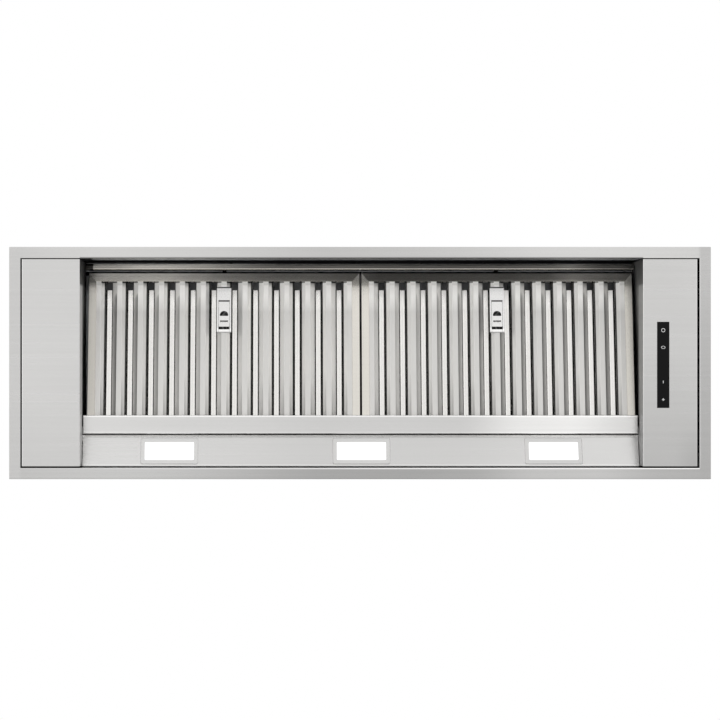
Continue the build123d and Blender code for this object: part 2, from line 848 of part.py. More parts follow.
def lamp_clip(shift, side):
    # a leaf from the lamp's end wall up to the back of the rail's sheet
    root = shift + side * (lamp_neck_length / 2 + clip_sheet / 2)
    heel = root + side * clip_reach
    rest = -body_sheet - clip_sheet / 2
    plane = Plane(origin=lamp_centre, x_dir=(1, 0, 0), z_dir=(0, cos(lamp_slope), -sin(lamp_slope)))
    with BuildPart() as clip:
        with BuildSketch(plane):
            with BuildLine() as path:
                Polyline(
                    (root, -lamp_neck_depth - clip_drop),
                    (root, -lamp_neck_depth),
                    (heel, rest),
                    (heel + side * clip_foot, rest),
                )
            trace(path.line, line_width=clip_sheet)
        extrude(amount=clip_width / 2, both=True)
    return clip.part


with BuildPart() as lamp_clips:
    for lamp in range(lamp_count):
        shift = (lamp - (lamp_count - 1) / 2) * lamp_pitch
        for side in (-1, 1):
            add(lamp_clip(shift, side))
save(lamp_clips, "lamp_clips")


# Baffle filters: a mitred channel frame that holds two rows of interleaved baffles

def filter_frame(x):
    mitre_length = hypot(stile_flange, rail_flange) + 4 * mitre_groove
    with BuildPart() as frame:
        with BuildSketch(filter_plan(x)):
            with Locations((0, filter_middle)):
                Rectangle(filter_width, filter_length)
        extrude(amount=-filter_thickness)
        with BuildSketch(filter_plan(x, filter_sheet)):
            with Locations((0, filter_middle)):
                Rectangle(filter_width - 2 * filter_sheet, filter_length - 2 * filter_sheet)
        extrude(amount=-filter_thickness + 2 * filter_sheet, mode=Mode.SUBTRACT)
        with BuildSketch(filter_plan(x)):
            with Locations((0, filter_middle)):
                Rectangle(filter_width - 2 * stile_flange, filter_length - 2 * rail_flange)
        extrude(amount=-filter_sheet, mode=Mode.SUBTRACT)
        with BuildSketch(filter_plan(x, filter_thickness)):
            with Locations((0, filter_middle)):
                Rectangle(filter_width - 2 * back_flange, filter_length - 2 * back_flange)
        extrude(amount=filter_sheet, mode=Mode.SUBTRACT)
        with BuildSketch(filter_plan(x)):
            for side in (-1, 1):
                for end in (-1, 1):
                    corner_x = side * (filter_width - stile_flange) / 2
                    corner_u = filter_middle + end * (filter_length - rail_flange) / 2
                    turn = degrees(atan2(end * rail_flange, side * stile_flange))
                    with Locations((corner_x, corner_u)):
                        Rectangle(mitre_length, mitre_groove, rotation=turn)
        extrude(amount=-mitre_depth, mode=Mode.SUBTRACT)
        with BuildSketch(filter_section(x, filter_reach - 2 * filter_sheet)):
            with Locations((0, tongue_level + tongue_sheet / 2)):
                Rectangle(tongue_width + 2 * slider_gap, tongue_sheet + 2 * slider_gap)
        extrude(amount=3 * filter_sheet, mode=Mode.SUBTRACT)
        with BuildSketch(filter_section(x, -filter_lap)):
            with Locations((0, filter_sheet + drain_slot_width / 2)):
                with GridLocations(drain_slot_pitch, 0, drain_slot_count, 1):
                    SlotOverall(drain_slot_length, drain_slot_width)
        extrude(amount=filter_sheet, mode=Mode.SUBTRACT)
    return frame


def baffle_profile(flipped):
    # the folded sheet of one baffle: a flat web, two sloped shoulders and their returns
    rise = baffle_shoulder * tan(radians(shoulder_angle))
    base = filter_thickness - filter_sheet if flipped else filter_sheet
    up = -1 if flipped else 1
    folds = (
        (-baffle_half, base + up * (rise + baffle_return)),
        (-baffle_half, base + up * rise),
        (-baffle_web / 2, base),
        (baffle_web / 2, base),
        (baffle_half, base + up * rise),
        (baffle_half, base + up * (rise + baffle_return)),
    )
    with BuildSketch() as profile:
        with BuildLine() as path:
            FilletPolyline(*inset_points(folds, up * baffle_sheet / 2), radius=baffle_bend - baffle_sheet / 2)
        trace(path.line, line_width=baffle_sheet)
    return profile.sketch


def baffle_row(x, count, flipped):
    with BuildPart() as row:
        with BuildSketch(filter_section(x, filter_sheet + baffle_end_gap - filter_lap)):
            with GridLocations(baffle_pitch, 0, count, 1):
                add(baffle_profile(flipped))
        extrude(amount=baffle_length)
        if flipped:
            with BuildSketch(filter_plan(x, filter_thickness / 2)):
                with Locations((0, filter_reach - (air_window_low + air_window_high) / 2)):
                    with GridLocations(baffle_pitch, 0, count, 1):
                        Rectangle(air_window_width, air_window_low - air_window_high)
            extrude(amount=-filter_thickness / 2, mode=Mode.SUBTRACT)
        else:
            with BuildSketch(filter_plan(x)):
                with Locations((0, (latch_window_low + latch_window_high) / 2)):
                    Rectangle(tongue_width + 2 * latch_window_gap, latch_window_high - latch_window_low)
            extrude(amount=-filter_thickness / 2, mode=Mode.SUBTRACT)
    return row


# Filter latch: a plate over the middle baffle, a sprung slider with its tongue, and a spring

def latch_plate(x):
    with BuildPart() as plate:
        with BuildSketch(filter_plan(x, filter_sheet)):
            with Locations((0, (latch_plate_low + latch_plate_high) / 2)):
                Rectangle(latch_plate_width, latch_plate_high - latch_plate_low)
            with Locations((0, (slider_window_low + slider_window_high) / 2)):
                Rectangle(slider_window_width, slider_window_high - slider_window_low, mode=Mode.SUBTRACT)
        extrude(amount=filter_sheet + latch_plate_proud)
        with BuildSketch(filter_plan(x, filter_sheet)):
            with Locations((0, slider_window_low - filter_sheet / 2)):
                Rectangle(tongue_width, filter_sheet)
        extrude(amount=-spring_level - spring_width)
    return plate


def latch_slider(x):
    slider_level = slider_sheet - latch_plate_proud
    with BuildPart() as slider:
        with BuildSketch(filter_plan(x, slider_level)):
            with Locations((0, (slider_low + slider_high) / 2)):
                RectangleRounded(slider_width, slider_high - slider_low, slider_corner)
            with Locations((0, pull_hole_high - pull_hole_radius)):
                Circle(pull_hole_radius, mode=Mode.SUBTRACT)
            with Locations((0, pull_hole_high - pull_hole_radius - pull_hole_straight / 2)):
                Rectangle(2 * pull_hole_radius, pull_hole_straight, mode=Mode.SUBTRACT)
            with Locations((0, pull_hole_high - 1.5 * pull_hole_radius - pull_hole_straight)):
                Rectangle(2 * pull_hole_radius, pull_hole_radius)
            with Locations((0, pull_slot_high - pull_slot_length / 2)):
                SlotOverall(pull_slot_width, pull_slot_length, mode=Mode.SUBTRACT)
        extrude(amount=slider_sheet)
        with BuildSketch(filter_plan(x, slider_level)):
            with Locations((0, pull_slot_high - pull_slot_length - slider_sheet / 2)):
                Rectangle(pull_slot_width, slider_sheet)
        extrude(amount=slider_sheet + pull_lip_height)
        with BuildSketch(filter_plan(x, slider_level)):
            with Locations((0, upright_high - tongue_sheet / 2)):
                Rectangle(tongue_width, tongue_sheet)
        extrude(amount=slider_level - tongue_level - tongue_sheet)
        with BuildSketch(filter_side(x)):
            with BuildLine():
                Polyline(
                    (upright_low, tongue_level),
                    (tongue_end, tongue_level),
                    (tongue_end, tongue_level + tongue_sheet / 3),
                    (tongue_end - tongue_sheet, tongue_level + tongue_sheet),
                    (upright_low, tongue_level + tongue_sheet),
                    close=True,
                )
            make_face()
        extrude(amount=tongue_width / 2, both=True)
        with Locations(filter_plan(x, filter_sheet)):
            with Locations((0, (slider_low + slider_high) / 2)):
                with GridLocations(slider_width - slider_wing, slider_wing_pitch, 2, 2):
                    Box(
                        slider_wing,
                        slider_wing_length,
                        2 * (filter_sheet - slider_level + slider_gap),
                        align=(Align.CENTER, Align.CENTER, Align.CENTER),
                    )
        with Locations(filter_plan(x, filter_sheet + slider_gap)):
            with Locations((0, (slider_low + slider_high) / 2)):
                with GridLocations(slider_width, slider_wing_pitch, 2, 2):
                    Box(
                        2 * slider_wing,
                        slider_wing_length,
                        slider_sheet,
                        align=(Align.CENTER, Align.CENTER, Align.MAX),
                    )
    return slider


def latch_spring(x):
    # a zigzag leaf between the plate's stop and the slider's upright
    start = slider_window_low + rest_gap
    finish = upright_low - rest_gap - spring_sheet / 2
    step = (finish - start) / spring_folds
    turns = [((-1) ** fold * spring_half, start + fold * step) for fold in range(1, spring_folds)]
    with BuildPart() as spring:
        with BuildSketch(filter_plan(x, spring_level)):
            with BuildLine() as path:
                FilletPolyline((0, start), *turns, (0, finish), radius=2 * spring_sheet)
            trace(path.line, line_width=spring_sheet)
        extrude(amount=-spring_width)
    return spring


for name, x in (("left", left_filter_x), ("right", right_filter_x)):
    save(filter_frame(x), f"{name}_filter_frame")
    save(baffle_row(x, 2 * baffle_pairs + 1, False), f"{name}_front_baffles")
    save(baffle_row(x, 2 * baffle_pairs, True), f"{name}_rear_baffles")
    save(latch_plate(x), f"{name}_latch_plate")
    save(latch_slider(x), f"{name}_latch_slider")
    save(latch_spring(x), f"{name}_latch_spring")


# Blower box on the deck, and its lid

def lid_screw_planes(reach):
    # planes on the long skirts, facing out, where the lid's side screws go in
    height = lid_top - lid_skirt / 2
    return [
        Plane(origin=(0, side * reach, height), x_dir=(1, 0, 0), z_dir=(0, side, 0))
        for side in (-1, 1)
    ]


with BuildPart() as blower_box:
    with BuildSketch(Plane.XY.offset(deck_top)):
        Rectangle(blower_box_length + 2 * blower_flange, blower_box_depth + 2 * blower_flange)
        with GridLocations(deck_rivet_pitch, deck_rivet_row, deck_rivet_count, 2):
            Circle(rivet_hole_radius, mode=Mode.SUBTRACT)
    extrude(amount=body_sheet)
    with BuildSketch(Plane.XY.offset(deck_top)):
        Rectangle(blower_box_length, blower_box_depth)
    extrude(amount=blower_box_height - body_sheet)
    with BuildSketch(Plane.XY.offset(deck_top)):
        Rectangle(blower_box_length - 2 * body_sheet, blower_box_depth - 2 * body_sheet)
    extrude(amount=blower_box_height, mode=Mode.SUBTRACT)
    with Locations(*lid_screw_planes(blower_box_depth / 2)):
        with GridLocations(lid_screw_pitch, 0, lid_screw_count, 1):
            Cylinder(screw_hole_radius, 3 * body_sheet, mode=Mode.SUBTRACT)
save(blower_box, "blower_box")

with BuildPart() as blower_lid:
    with BuildSketch(Plane.XY.offset(lid_underside)):
        Rectangle(blower_box_length + 2 * body_sheet, blower_box_depth + 2 * body_sheet)
        with Locations((0, outlet_y)):
            Rectangle(scroll_width, outlet_width, mode=Mode.SUBTRACT)
            with PolarLocations(spigot_screw_radius, spigot_screw_count):
                Circle(screw_hole_radius, mode=Mode.SUBTRACT)
            with GridLocations(outlet_screw_row, outlet_screw_pitch, 2, 2):
                Circle(screw_hole_radius, mode=Mode.SUBTRACT)
    extrude(amount=body_sheet)
    with BuildSketch(Plane.XY.offset(lid_underside)):
        Rectangle(blower_box_length + 2 * body_sheet, blower_box_depth + 2 * body_sheet)
        Rectangle(blower_box_length, blower_box_depth, mode=Mode.SUBTRACT)
    extrude(amount=-lid_skirt)
    with Locations(*lid_screw_planes(blower_box_depth / 2)):
        with GridLocations(lid_screw_pitch, 0, lid_screw_count, 1):
            Cylinder(screw_hole_radius, 3 * body_sheet, mode=Mode.SUBTRACT)
save(blower_lid, "blower_lid")


# Centrifugal blower: scroll, impeller on the motor's shaft, and the motor on its bracket

def scroll_outline():
    # the inside of the scroll in (Y, Z): three arcs that widen by one growth each quarter turn
    first = (scroll_y + scroll_growth / 2, scroll_middle_height - scroll_growth / 2)
    second = (first[0] - scroll_growth, first[1])
    third = (second[0], second[1] + scroll_growth)
    radius = impeller_radius + scroll_clearance + scroll_growth / 2
    cutoff_angle = degrees(acos((outlet_rear - first[0]) / radius))
    with BuildSketch() as outline:
        with BuildLine():
            near_arc = CenterArc(first, radius, 0, cutoff_angle)
            CenterArc(second, radius + scroll_growth, -90, 90)
            far_arc = CenterArc(third, radius + 2 * scroll_growth, 180, 90)
            Polyline(
                far_arc @ 0,
                (outlet_front, lid_underside),
                (outlet_rear, lid_underside),
                near_arc @ 1,
            )
        make_face()
    return outline.sketch


def scroll_blank():
    # the outline grown by the sheet and cut level under the lid
    with BuildSketch() as blank:
        add(scroll_outline())
        offset(amount=scroll_sheet)
        with Locations((outlet_y, lid_underside + scroll_growth)):
            Rectangle(2 * outlet_width, 2 * scroll_growth, mode=Mode.SUBTRACT)
    return blank.sketch


def scroll_side(side):
    # a side plate with its round inlet, the inlet's collar and the flange under the lid
    inside = side * scroll_width / 2
    with BuildPart() as plate:
        with BuildSketch(across_plane(inside)):
            add(scroll_blank())
        extrude(amount=side * scroll_sheet)
        with BuildSketch(across_plane(inside)):
            with Locations((scroll_y, scroll_middle_height)):
                Circle(inlet_radius + scroll_sheet)
        extrude(amount=side * (scroll_sheet + inlet_collar))
        with BuildSketch(across_plane(inside)):
            with Locations((scroll_y, scroll_middle_height)):
                Circle(inlet_radius)
        extrude(amount=side * (scroll_sheet + inlet_collar), mode=Mode.SUBTRACT)
        with BuildSketch(Plane.XY.offset(lid_underside)):
            with Locations((side * outlet_screw_row / 2, outlet_y)):
                Rectangle(outlet_flange, outlet_width)
                with GridLocations(0, outlet_screw_pitch, 1, 2):
                    Circle(screw_hole_radius, mode=Mode.SUBTRACT)
        extrude(amount=-scroll_sheet)
    return plate


with BuildPart() as scroll_wrap:
    with BuildSketch(across_plane(-scroll_width / 2)):
        add(scroll_blank())
        add(scroll_outline(), mode=Mode.SUBTRACT)
    extrude(amount=scroll_width)
save(scroll_wrap, "scroll_wrap")

with BuildPart() as scroll_motor_side:
    add(scroll_side(-1).part)
    with BuildSketch(across_plane(-scroll_width / 2)):
        with Locations((scroll_y, scroll_middle_height)):
            with PolarLocations(bush_centre_radius, bracket_arms, start_angle=90):
                Circle(screw_hole_radius)
    extrude(amount=-scroll_sheet, mode=Mode.SUBTRACT)
save(scroll_motor_side, "scroll_motor_side")
save(scroll_side(1), "scroll_inlet_side")


def round_part(start, end, radius, bore=0.0):
    # a round piece about the blower's axis, from start to end along X
    with BuildPart() as piece:
        with BuildSketch(across_plane(start)):
            with Locations((scroll_y, scroll_middle_height)):
                Circle(radius)
                if bore > 0:
                    Circle(bore, mode=Mode.SUBTRACT)
        extrude(amount=end - start)
    return piece.part


def blade_profile():
    half_depth = blade_depth / 2
    half_lean = half_depth * tan(radians(blade_lean))
    with BuildSketch() as profile:
        with BuildLine():
            ThreePointArc((-half_depth, -half_lean), (blade_bow / 2, -blade_bow), (half_depth, half_lean))
            offset(amount=blade_sheet, side=Side.LEFT)
        make_face()
    return profile.sketch


with BuildPart() as impeller:
    for start in (-impeller_width / 2, impeller_width / 2 - rim_sheet):
        add(round_part(start, start + rim_sheet, impeller_radius, impeller_radius - blade_depth))
    add(round_part(-disc_sheet / 2, disc_sheet / 2, impeller_radius))
    add(round_part(-disc_sheet / 2, hub_end, hub_radius))
    add(round_part(-disc_sheet / 2, hub_end, shaft_radius + shaft_gap), mode=Mode.SUBTRACT)
save(impeller, "impeller")

with BuildPart() as impeller_blades:
    for start in (rim_sheet - impeller_width / 2, disc_sheet / 2):
        with BuildSketch(across_plane(start)):
            with Locations((scroll_y, scroll_middle_height)):
                with PolarLocations(impeller_radius - blade_depth / 2 - blade_inset, blade_count):
                    add(blade_profile())
        extrude(amount=(impeller_width - disc_sheet) / 2 - rim_sheet)
save(impeller_blades, "impeller_blades")

with BuildPart() as motor_shaft:
    add(round_part(motor_start - shaft_depth, hub_end + impeller_nut_height + shaft_radius / 2, shaft_radius))
save(motor_shaft, "motor_shaft")

with BuildPart() as impeller_nut:
    with BuildSketch(across_plane(hub_end)):
        with Locations((scroll_y, scroll_middle_height)):
            RegularPolygon(impeller_nut_flats / 2, 6, major_radius=False)
            Circle(shaft_radius + shaft_gap, mode=Mode.SUBTRACT)
    extrude(amount=impeller_nut_height)
save(impeller_nut, "impeller_nut")

with BuildPart() as motor:
    add(round_part(-motor_end, motor_start - motor_cap_depth, motor_radius))
    add(round_part(motor_start - motor_cap_depth, motor_start, motor_nose_radius))
    with BuildSketch(across_plane(-motor_end)):
        with Locations((scroll_y, scroll_middle_height)):
            with PolarLocations(motor_radius, motor_fin_count):
                Rectangle(motor_groove_depth * 2, motor_groove_width)
    extrude(amount=motor_groove_length, mode=Mode.SUBTRACT)
    shaft_pocket = round_part(motor_start - shaft_depth - shaft_gap, motor_start, shaft_radius + shaft_gap)
    add(shaft_pocket, mode=Mode.SUBTRACT)
save(motor, "motor")

with BuildPart() as motor_bracket:
    with BuildSketch(across_plane(-motor_end)):
        with Locations((scroll_y, scroll_middle_height)):
            Circle(motor_radius - motor_groove_depth)
            with PolarLocations(bush_centre_radius / 2, bracket_arms, start_angle=90):
                Rectangle(bush_centre_radius, bracket_arm_width)
            with PolarLocations(bush_centre_radius, bracket_arms, start_angle=90):
                Circle(bracket_arm_width / 2)
            Circle(motor_radius - motor_groove_depth - bracket_ring, mode=Mode.SUBTRACT)
            with PolarLocations(bush_centre_radius, bracket_arms, start_angle=90):
                Circle(screw_hole_radius, mode=Mode.SUBTRACT)
    extrude(amount=-bracket_sheet)
save(motor_bracket, "motor_bracket")

with BuildPart() as motor_bushes:
    with BuildSketch(across_plane(-motor_end)):
        with Locations((scroll_y, scroll_middle_height)):
            with PolarLocations(bush_centre_radius, bracket_arms, start_angle=90):
                Circle(bush_radius)
                Circle(screw_hole_radius, mode=Mode.SUBTRACT)
    extrude(amount=bush_height)
save(motor_bushes, "motor_bushes")


def screw(length):
    # a round-headed socket screw, its head on the plane and its body below
    with BuildPart() as one:
        Cylinder(screw_head_radius, screw_head, align=(Align.CENTER, Align.CENTER, Align.MIN))
        chamfer(one.faces().sort_by(Axis.Z)[-1].edges(), length=screw_head / 3)
        Cylinder(screw_radius, length, align=(Align.CENTER, Align.CENTER, Align.MAX))
        with BuildSketch(Plane.XY.offset(screw_head)):
            RegularPolygon(screw_socket_flats / 2, 6, major_radius=False)
        extrude(amount=-screw_socket_depth, mode=Mode.SUBTRACT)
    return one.part


with BuildPart() as motor_screws:
    head_centre = Vector(-motor_end - bracket_sheet, scroll_y, scroll_middle_height)
    with Locations(Plane(origin=head_centre, x_dir=(0, 0, 1), z_dir=(-1, 0, 0))):
        with PolarLocations(bush_centre_radius, bracket_arms):
            add(screw(motor_screw_length))
save(motor_screws, "motor_screws")

with BuildPart() as lid_screws:
    with Locations((0, outlet_y, lid_top + spigot_sheet)):
        with PolarLocations(spigot_screw_radius, spigot_screw_count):
            add(screw(screw_length))
    with Locations((0, outlet_y, lid_top)):
        with GridLocations(outlet_screw_row, outlet_screw_pitch, 2, 2):
            add(screw(screw_length))
    with Locations(*lid_screw_planes(blower_box_depth / 2 + body_sheet)):
        with GridLocations(lid_screw_pitch, 0, lid_screw_count, 1):
            add(screw(screw_length))
save(lid_screws, "lid_screws")


# Duct spigot with a stop ring, and the two damper flaps on their pin

knuckle_bore = damper_pin_radius + damper_pin_gap
knuckle_radius = knuckle_bore + damper_knuckle_wall
flap_level = damper_height - knuckle_radius
pin_plane = Plane(origin=(0, outlet_y, damper_height), x_dir=(0, 1, 0), z_dir=(1, 0, 0))

with BuildPart() as duct_spigot:
    with BuildSketch(Plane.XY.offset(lid_top)):
        with Locations((0, outlet_y)):
            Circle(spigot_radius + spigot_flange)
            with PolarLocations(spigot_screw_radius, spigot_screw_count):
                Circle(screw_hole_radius, mode=Mode.SUBTRACT)
    extrude(amount=spigot_sheet)
    with BuildSketch(Plane.XY.offset(lid_top)):
        with Locations((0, outlet_y)):
            Circle(spigot_radius)
    extrude(amount=spigot_height)
    with BuildSketch(Plane.XY.offset(lid_top)):
        with Locations((0, outlet_y)):
            Circle(spigot_radius - spigot_sheet)
    extrude(amount=spigot_height, mode=Mode.SUBTRACT)
    with BuildSketch(Plane.XY.offset(flap_level - damper_stop_gap)):
        with Locations((0, outlet_y)):
            Circle(spigot_radius - spigot_sheet / 2)
            Circle(spigot_radius - spigot_sheet - spigot_stop, mode=Mode.SUBTRACT)
    extrude(amount=-spigot_sheet)
    for side in (-1, 1):
        with BuildSketch(pin_plane.offset(side * (spigot_radius - spigot_sheet - damper_boss))):
            Circle(damper_boss)
        extrude(amount=side * (damper_boss + spigot_sheet / 2))
    with BuildSketch(pin_plane):
        Circle(damper_pin_radius + rivet_gap)
    extrude(amount=pin_half, both=True, mode=Mode.SUBTRACT)
save(duct_spigot, "duct_spigot")

with BuildPart() as damper_pin:
    with BuildSketch(pin_plane):
        Circle(damper_pin_radius)
    extrude(amount=pin_half, both=True)
save(damper_pin, "damper_pin")


def damper_flap(side, knuckle_places):
    # half a disc with its own knuckles, cut back where the other flap's knuckles turn
    radius = spigot_radius - spigot_sheet - damper_edge_gap
    setback = knuckle_radius + damper_knuckle_gap
    width = knuckle_length - damper_knuckle_gap
    with BuildPart() as flap:
        with BuildSketch(Plane.XY.offset(flap_level)):
            with Locations((0, outlet_y)):
                Circle(radius)
                with Locations((0, side * (setback - radius))):
                    Rectangle(2 * radius, 2 * radius, mode=Mode.SUBTRACT)
                with GridLocations(2 * radius, 0, 2, 1):
                    Rectangle(3 * damper_boss, 2 * damper_boss + 2 * damper_knuckle_gap, mode=Mode.SUBTRACT)
                with Locations(*[(place, side * setback / 2) for place in knuckle_places]):
                    Rectangle(width, setback)
        extrude(amount=damper_sheet)
        for place in knuckle_places:
            with BuildSketch(pin_plane.offset(place)):
                Circle(knuckle_radius)
            extrude(amount=width / 2, both=True)
        with BuildSketch(pin_plane):
            Circle(knuckle_bore)
        extrude(amount=radius, both=True, mode=Mode.SUBTRACT)
    return flap


save(damper_flap(-1, (-1.5 * knuckle_length, 0.5 * knuckle_length)), "front_damper")
save(damper_flap(1, (-0.5 * knuckle_length, 1.5 * knuckle_length)), "rear_damper")


# Electrics on the deck: control box with board, terminals, capacitor and gland, and the lamp driver

box_floor = deck_top + control_box_sheet
box_rim = deck_top + control_box_height - control_box_sheet
box_inner_length = control_box_length - 2 * control_box_sheet
box_inner_depth = control_box_depth - 2 * control_box_sheet
box_wall_x = control_box_middle_x + control_box_length / 2
board_length = box_inner_length - 2 * board_margin
board_y = (board_depth - box_inner_depth) / 2 + board_edge_gap
board_level = box_floor + board_standoff
board_top = board_level + board_thickness
gland_plane = Plane(origin=(box_wall_x, board_y, deck_top + gland_level), x_dir=(0, 1, 0), z_dir=(1, 0, 0))

with BuildPart() as control_box:
    with BuildSketch(Plane.XY.offset(deck_top)):
        with Locations((control_box_middle_x, 0)):
            Rectangle(control_box_length, control_box_depth)
    extrude(amount=control_box_height - control_box_sheet)
    with BuildSketch(Plane.XY.offset(box_floor)):
        with Locations((control_box_middle_x, 0)):
            Rectangle(box_inner_length, box_inner_depth)
    extrude(amount=control_box_height, mode=Mode.SUBTRACT)
    with BuildSketch(gland_plane):
        Circle(gland_thread_radius + gland_wall_gap)
    extrude(amount=-2 * control_box_sheet, mode=Mode.SUBTRACT)
save(control_box, "control_box")

with BuildPart() as control_box_lid:
    with BuildSketch(Plane.XY.offset(box_rim)):
        with Locations((control_box_middle_x, 0)):
            Rectangle(control_box_length + 2 * control_box_sheet, control_box_depth + 2 * control_box_sheet)
    extrude(amount=control_box_sheet)
    with BuildSketch(Plane.XY.offset(box_rim)):
        with Locations((control_box_middle_x, 0)):
            Rectangle(control_box_length + 2 * control_box_sheet, control_box_depth + 2 * control_box_sheet)
            Rectangle(control_box_length, control_box_depth, mode=Mode.SUBTRACT)
    extrude(amount=-control_lid_skirt)
save(control_box_lid, "control_box_lid")

with BuildPart() as power_board:
    with BuildSketch(Plane.XY.offset(board_level)):
        with Locations((control_box_middle_x, board_y)):
            Rectangle(board_length, board_depth)
    extrude(amount=board_thickness)
    with BuildSketch(Plane.XY.offset(box_floor)):
        with Locations((control_box_middle_x, board_y)):
            with GridLocations(board_length - board_margin, board_depth - board_margin, 2, 2):
                Circle(standoff_radius)
    extrude(amount=board_standoff)
    with BuildSketch(Plane.XY.offset(board_top)):
        with Locations((control_box_middle_x - board_length / 4, board_y)):
            Rectangle(transformer_width, transformer_width)
    extrude(amount=transformer_height)
    with BuildSketch(Plane.XY.offset(board_top)):
        with Locations((control_box_middle_x + board_length / 10, board_y)):
            with GridLocations(0, relay_pitch, 1, 3):
                Rectangle(relay_length, relay_width)
    extrude(amount=relay_width)
save(power_board, "power_board")

with BuildPart() as terminal_block:
    with BuildSketch(Plane.XY.offset(board_top)):
        with Locations((control_box_middle_x + board_length / 2 - terminal_depth, board_y)):
            Rectangle(terminal_depth, terminal_length)
    extrude(amount=terminal_height)
    with BuildSketch(Plane.XY.offset(board_top + terminal_height)):
        with Locations((control_box_middle_x + board_length / 2 - terminal_depth, board_y)):
            with GridLocations(terminal_depth / 2, terminal_length / terminal_ways, 2, terminal_ways):
                Circle(terminal_screw_radius)
    extrude(amount=-terminal_height / 3, mode=Mode.SUBTRACT)
save(terminal_block, "terminal_block")

with BuildPart() as capacitor_can:
    can_y = box_inner_depth / 2 - capacitor_radius - board_edge_gap
    can_middle = Vector(control_box_middle_x, can_y, box_floor + capacitor_radius)
    with BuildSketch(Plane(origin=can_middle, z_dir=(1, 0, 0))):
        Circle(capacitor_radius)
    extrude(amount=capacitor_length / 2, both=True)
    chamfer(capacitor_can.edges().filter_by(GeomType.CIRCLE), length=capacitor_chamfer)
save(capacitor_can, "capacitor")

with BuildPart() as cable_gland:
    with BuildSketch(gland_plane):
        RegularPolygon(gland_flats / 2, 6, major_radius=False)
    extrude(amount=gland_length / 3)
    with BuildSketch(gland_plane.offset(gland_length / 3)):
        Circle(gland_radius)
    extrude(amount=gland_length * 2 / 3)
    chamfer(cable_gland.faces().sort_by(Axis.X)[-1].edges(), length=gland_chamfer)
    with BuildSketch(gland_plane):
        Circle(gland_thread_radius)
    extrude(amount=-gland_thread_length)
    with BuildSketch(gland_plane.offset(-control_box_sheet)):
        RegularPolygon(gland_flats / 2, 6, major_radius=False)
    extrude(amount=-gland_nut_height)
    with BuildSketch(gland_plane.offset(-gland_thread_length)):
        Circle(gland_bore)
    extrude(amount=gland_length + gland_thread_length, mode=Mode.SUBTRACT)
save(cable_gland, "cable_gland")

with BuildPart() as led_driver:
    with BuildSketch(Plane.XY.offset(deck_top)):
        with Locations((driver_middle_x, 0)):
            Rectangle(driver_length, driver_depth)
    extrude(amount=driver_height)
    chamfer(led_driver.edges().filter_by(Axis.X), length=driver_chamfer)
    with BuildSketch(Plane.XY.offset(deck_top)):
        with Locations((driver_middle_x, 0)):
            Rectangle(driver_length + 2 * driver_ear, driver_depth / 2)
            with GridLocations(driver_length + driver_ear, 0, 2, 1):
                Circle(screw_hole_radius, mode=Mode.SUBTRACT)
    extrude(amount=driver_ear_thickness)
    with BuildSketch(Plane.XY.offset(deck_top + driver_height)):
        with Locations((driver_middle_x, 0)):
            with GridLocations(driver_rib_pitch, 0, driver_rib_count, 1):
                Rectangle(driver_rib_pitch / 2, driver_depth - 2 * driver_ear)
    extrude(amount=-driver_ear_thickness / 3, mode=Mode.SUBTRACT)
save(led_driver, "led_driver")
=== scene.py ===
import json
from math import cos, pi, radians, sin

import bpy
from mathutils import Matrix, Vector


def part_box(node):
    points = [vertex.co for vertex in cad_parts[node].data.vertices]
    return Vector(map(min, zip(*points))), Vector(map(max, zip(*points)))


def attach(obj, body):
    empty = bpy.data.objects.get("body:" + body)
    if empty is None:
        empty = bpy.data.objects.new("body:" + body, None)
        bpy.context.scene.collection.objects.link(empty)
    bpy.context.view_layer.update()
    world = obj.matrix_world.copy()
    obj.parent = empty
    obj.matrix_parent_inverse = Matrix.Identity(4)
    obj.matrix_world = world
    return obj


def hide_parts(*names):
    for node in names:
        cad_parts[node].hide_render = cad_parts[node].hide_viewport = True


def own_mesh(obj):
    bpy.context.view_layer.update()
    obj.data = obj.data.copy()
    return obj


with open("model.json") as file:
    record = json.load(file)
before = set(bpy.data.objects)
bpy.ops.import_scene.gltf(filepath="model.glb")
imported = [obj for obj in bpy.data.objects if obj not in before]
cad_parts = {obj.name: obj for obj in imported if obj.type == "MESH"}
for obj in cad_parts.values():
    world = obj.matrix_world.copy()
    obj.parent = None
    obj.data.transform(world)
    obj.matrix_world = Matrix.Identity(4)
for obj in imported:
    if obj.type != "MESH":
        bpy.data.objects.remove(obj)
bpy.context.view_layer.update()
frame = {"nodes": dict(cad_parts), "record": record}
print("frame loaded")


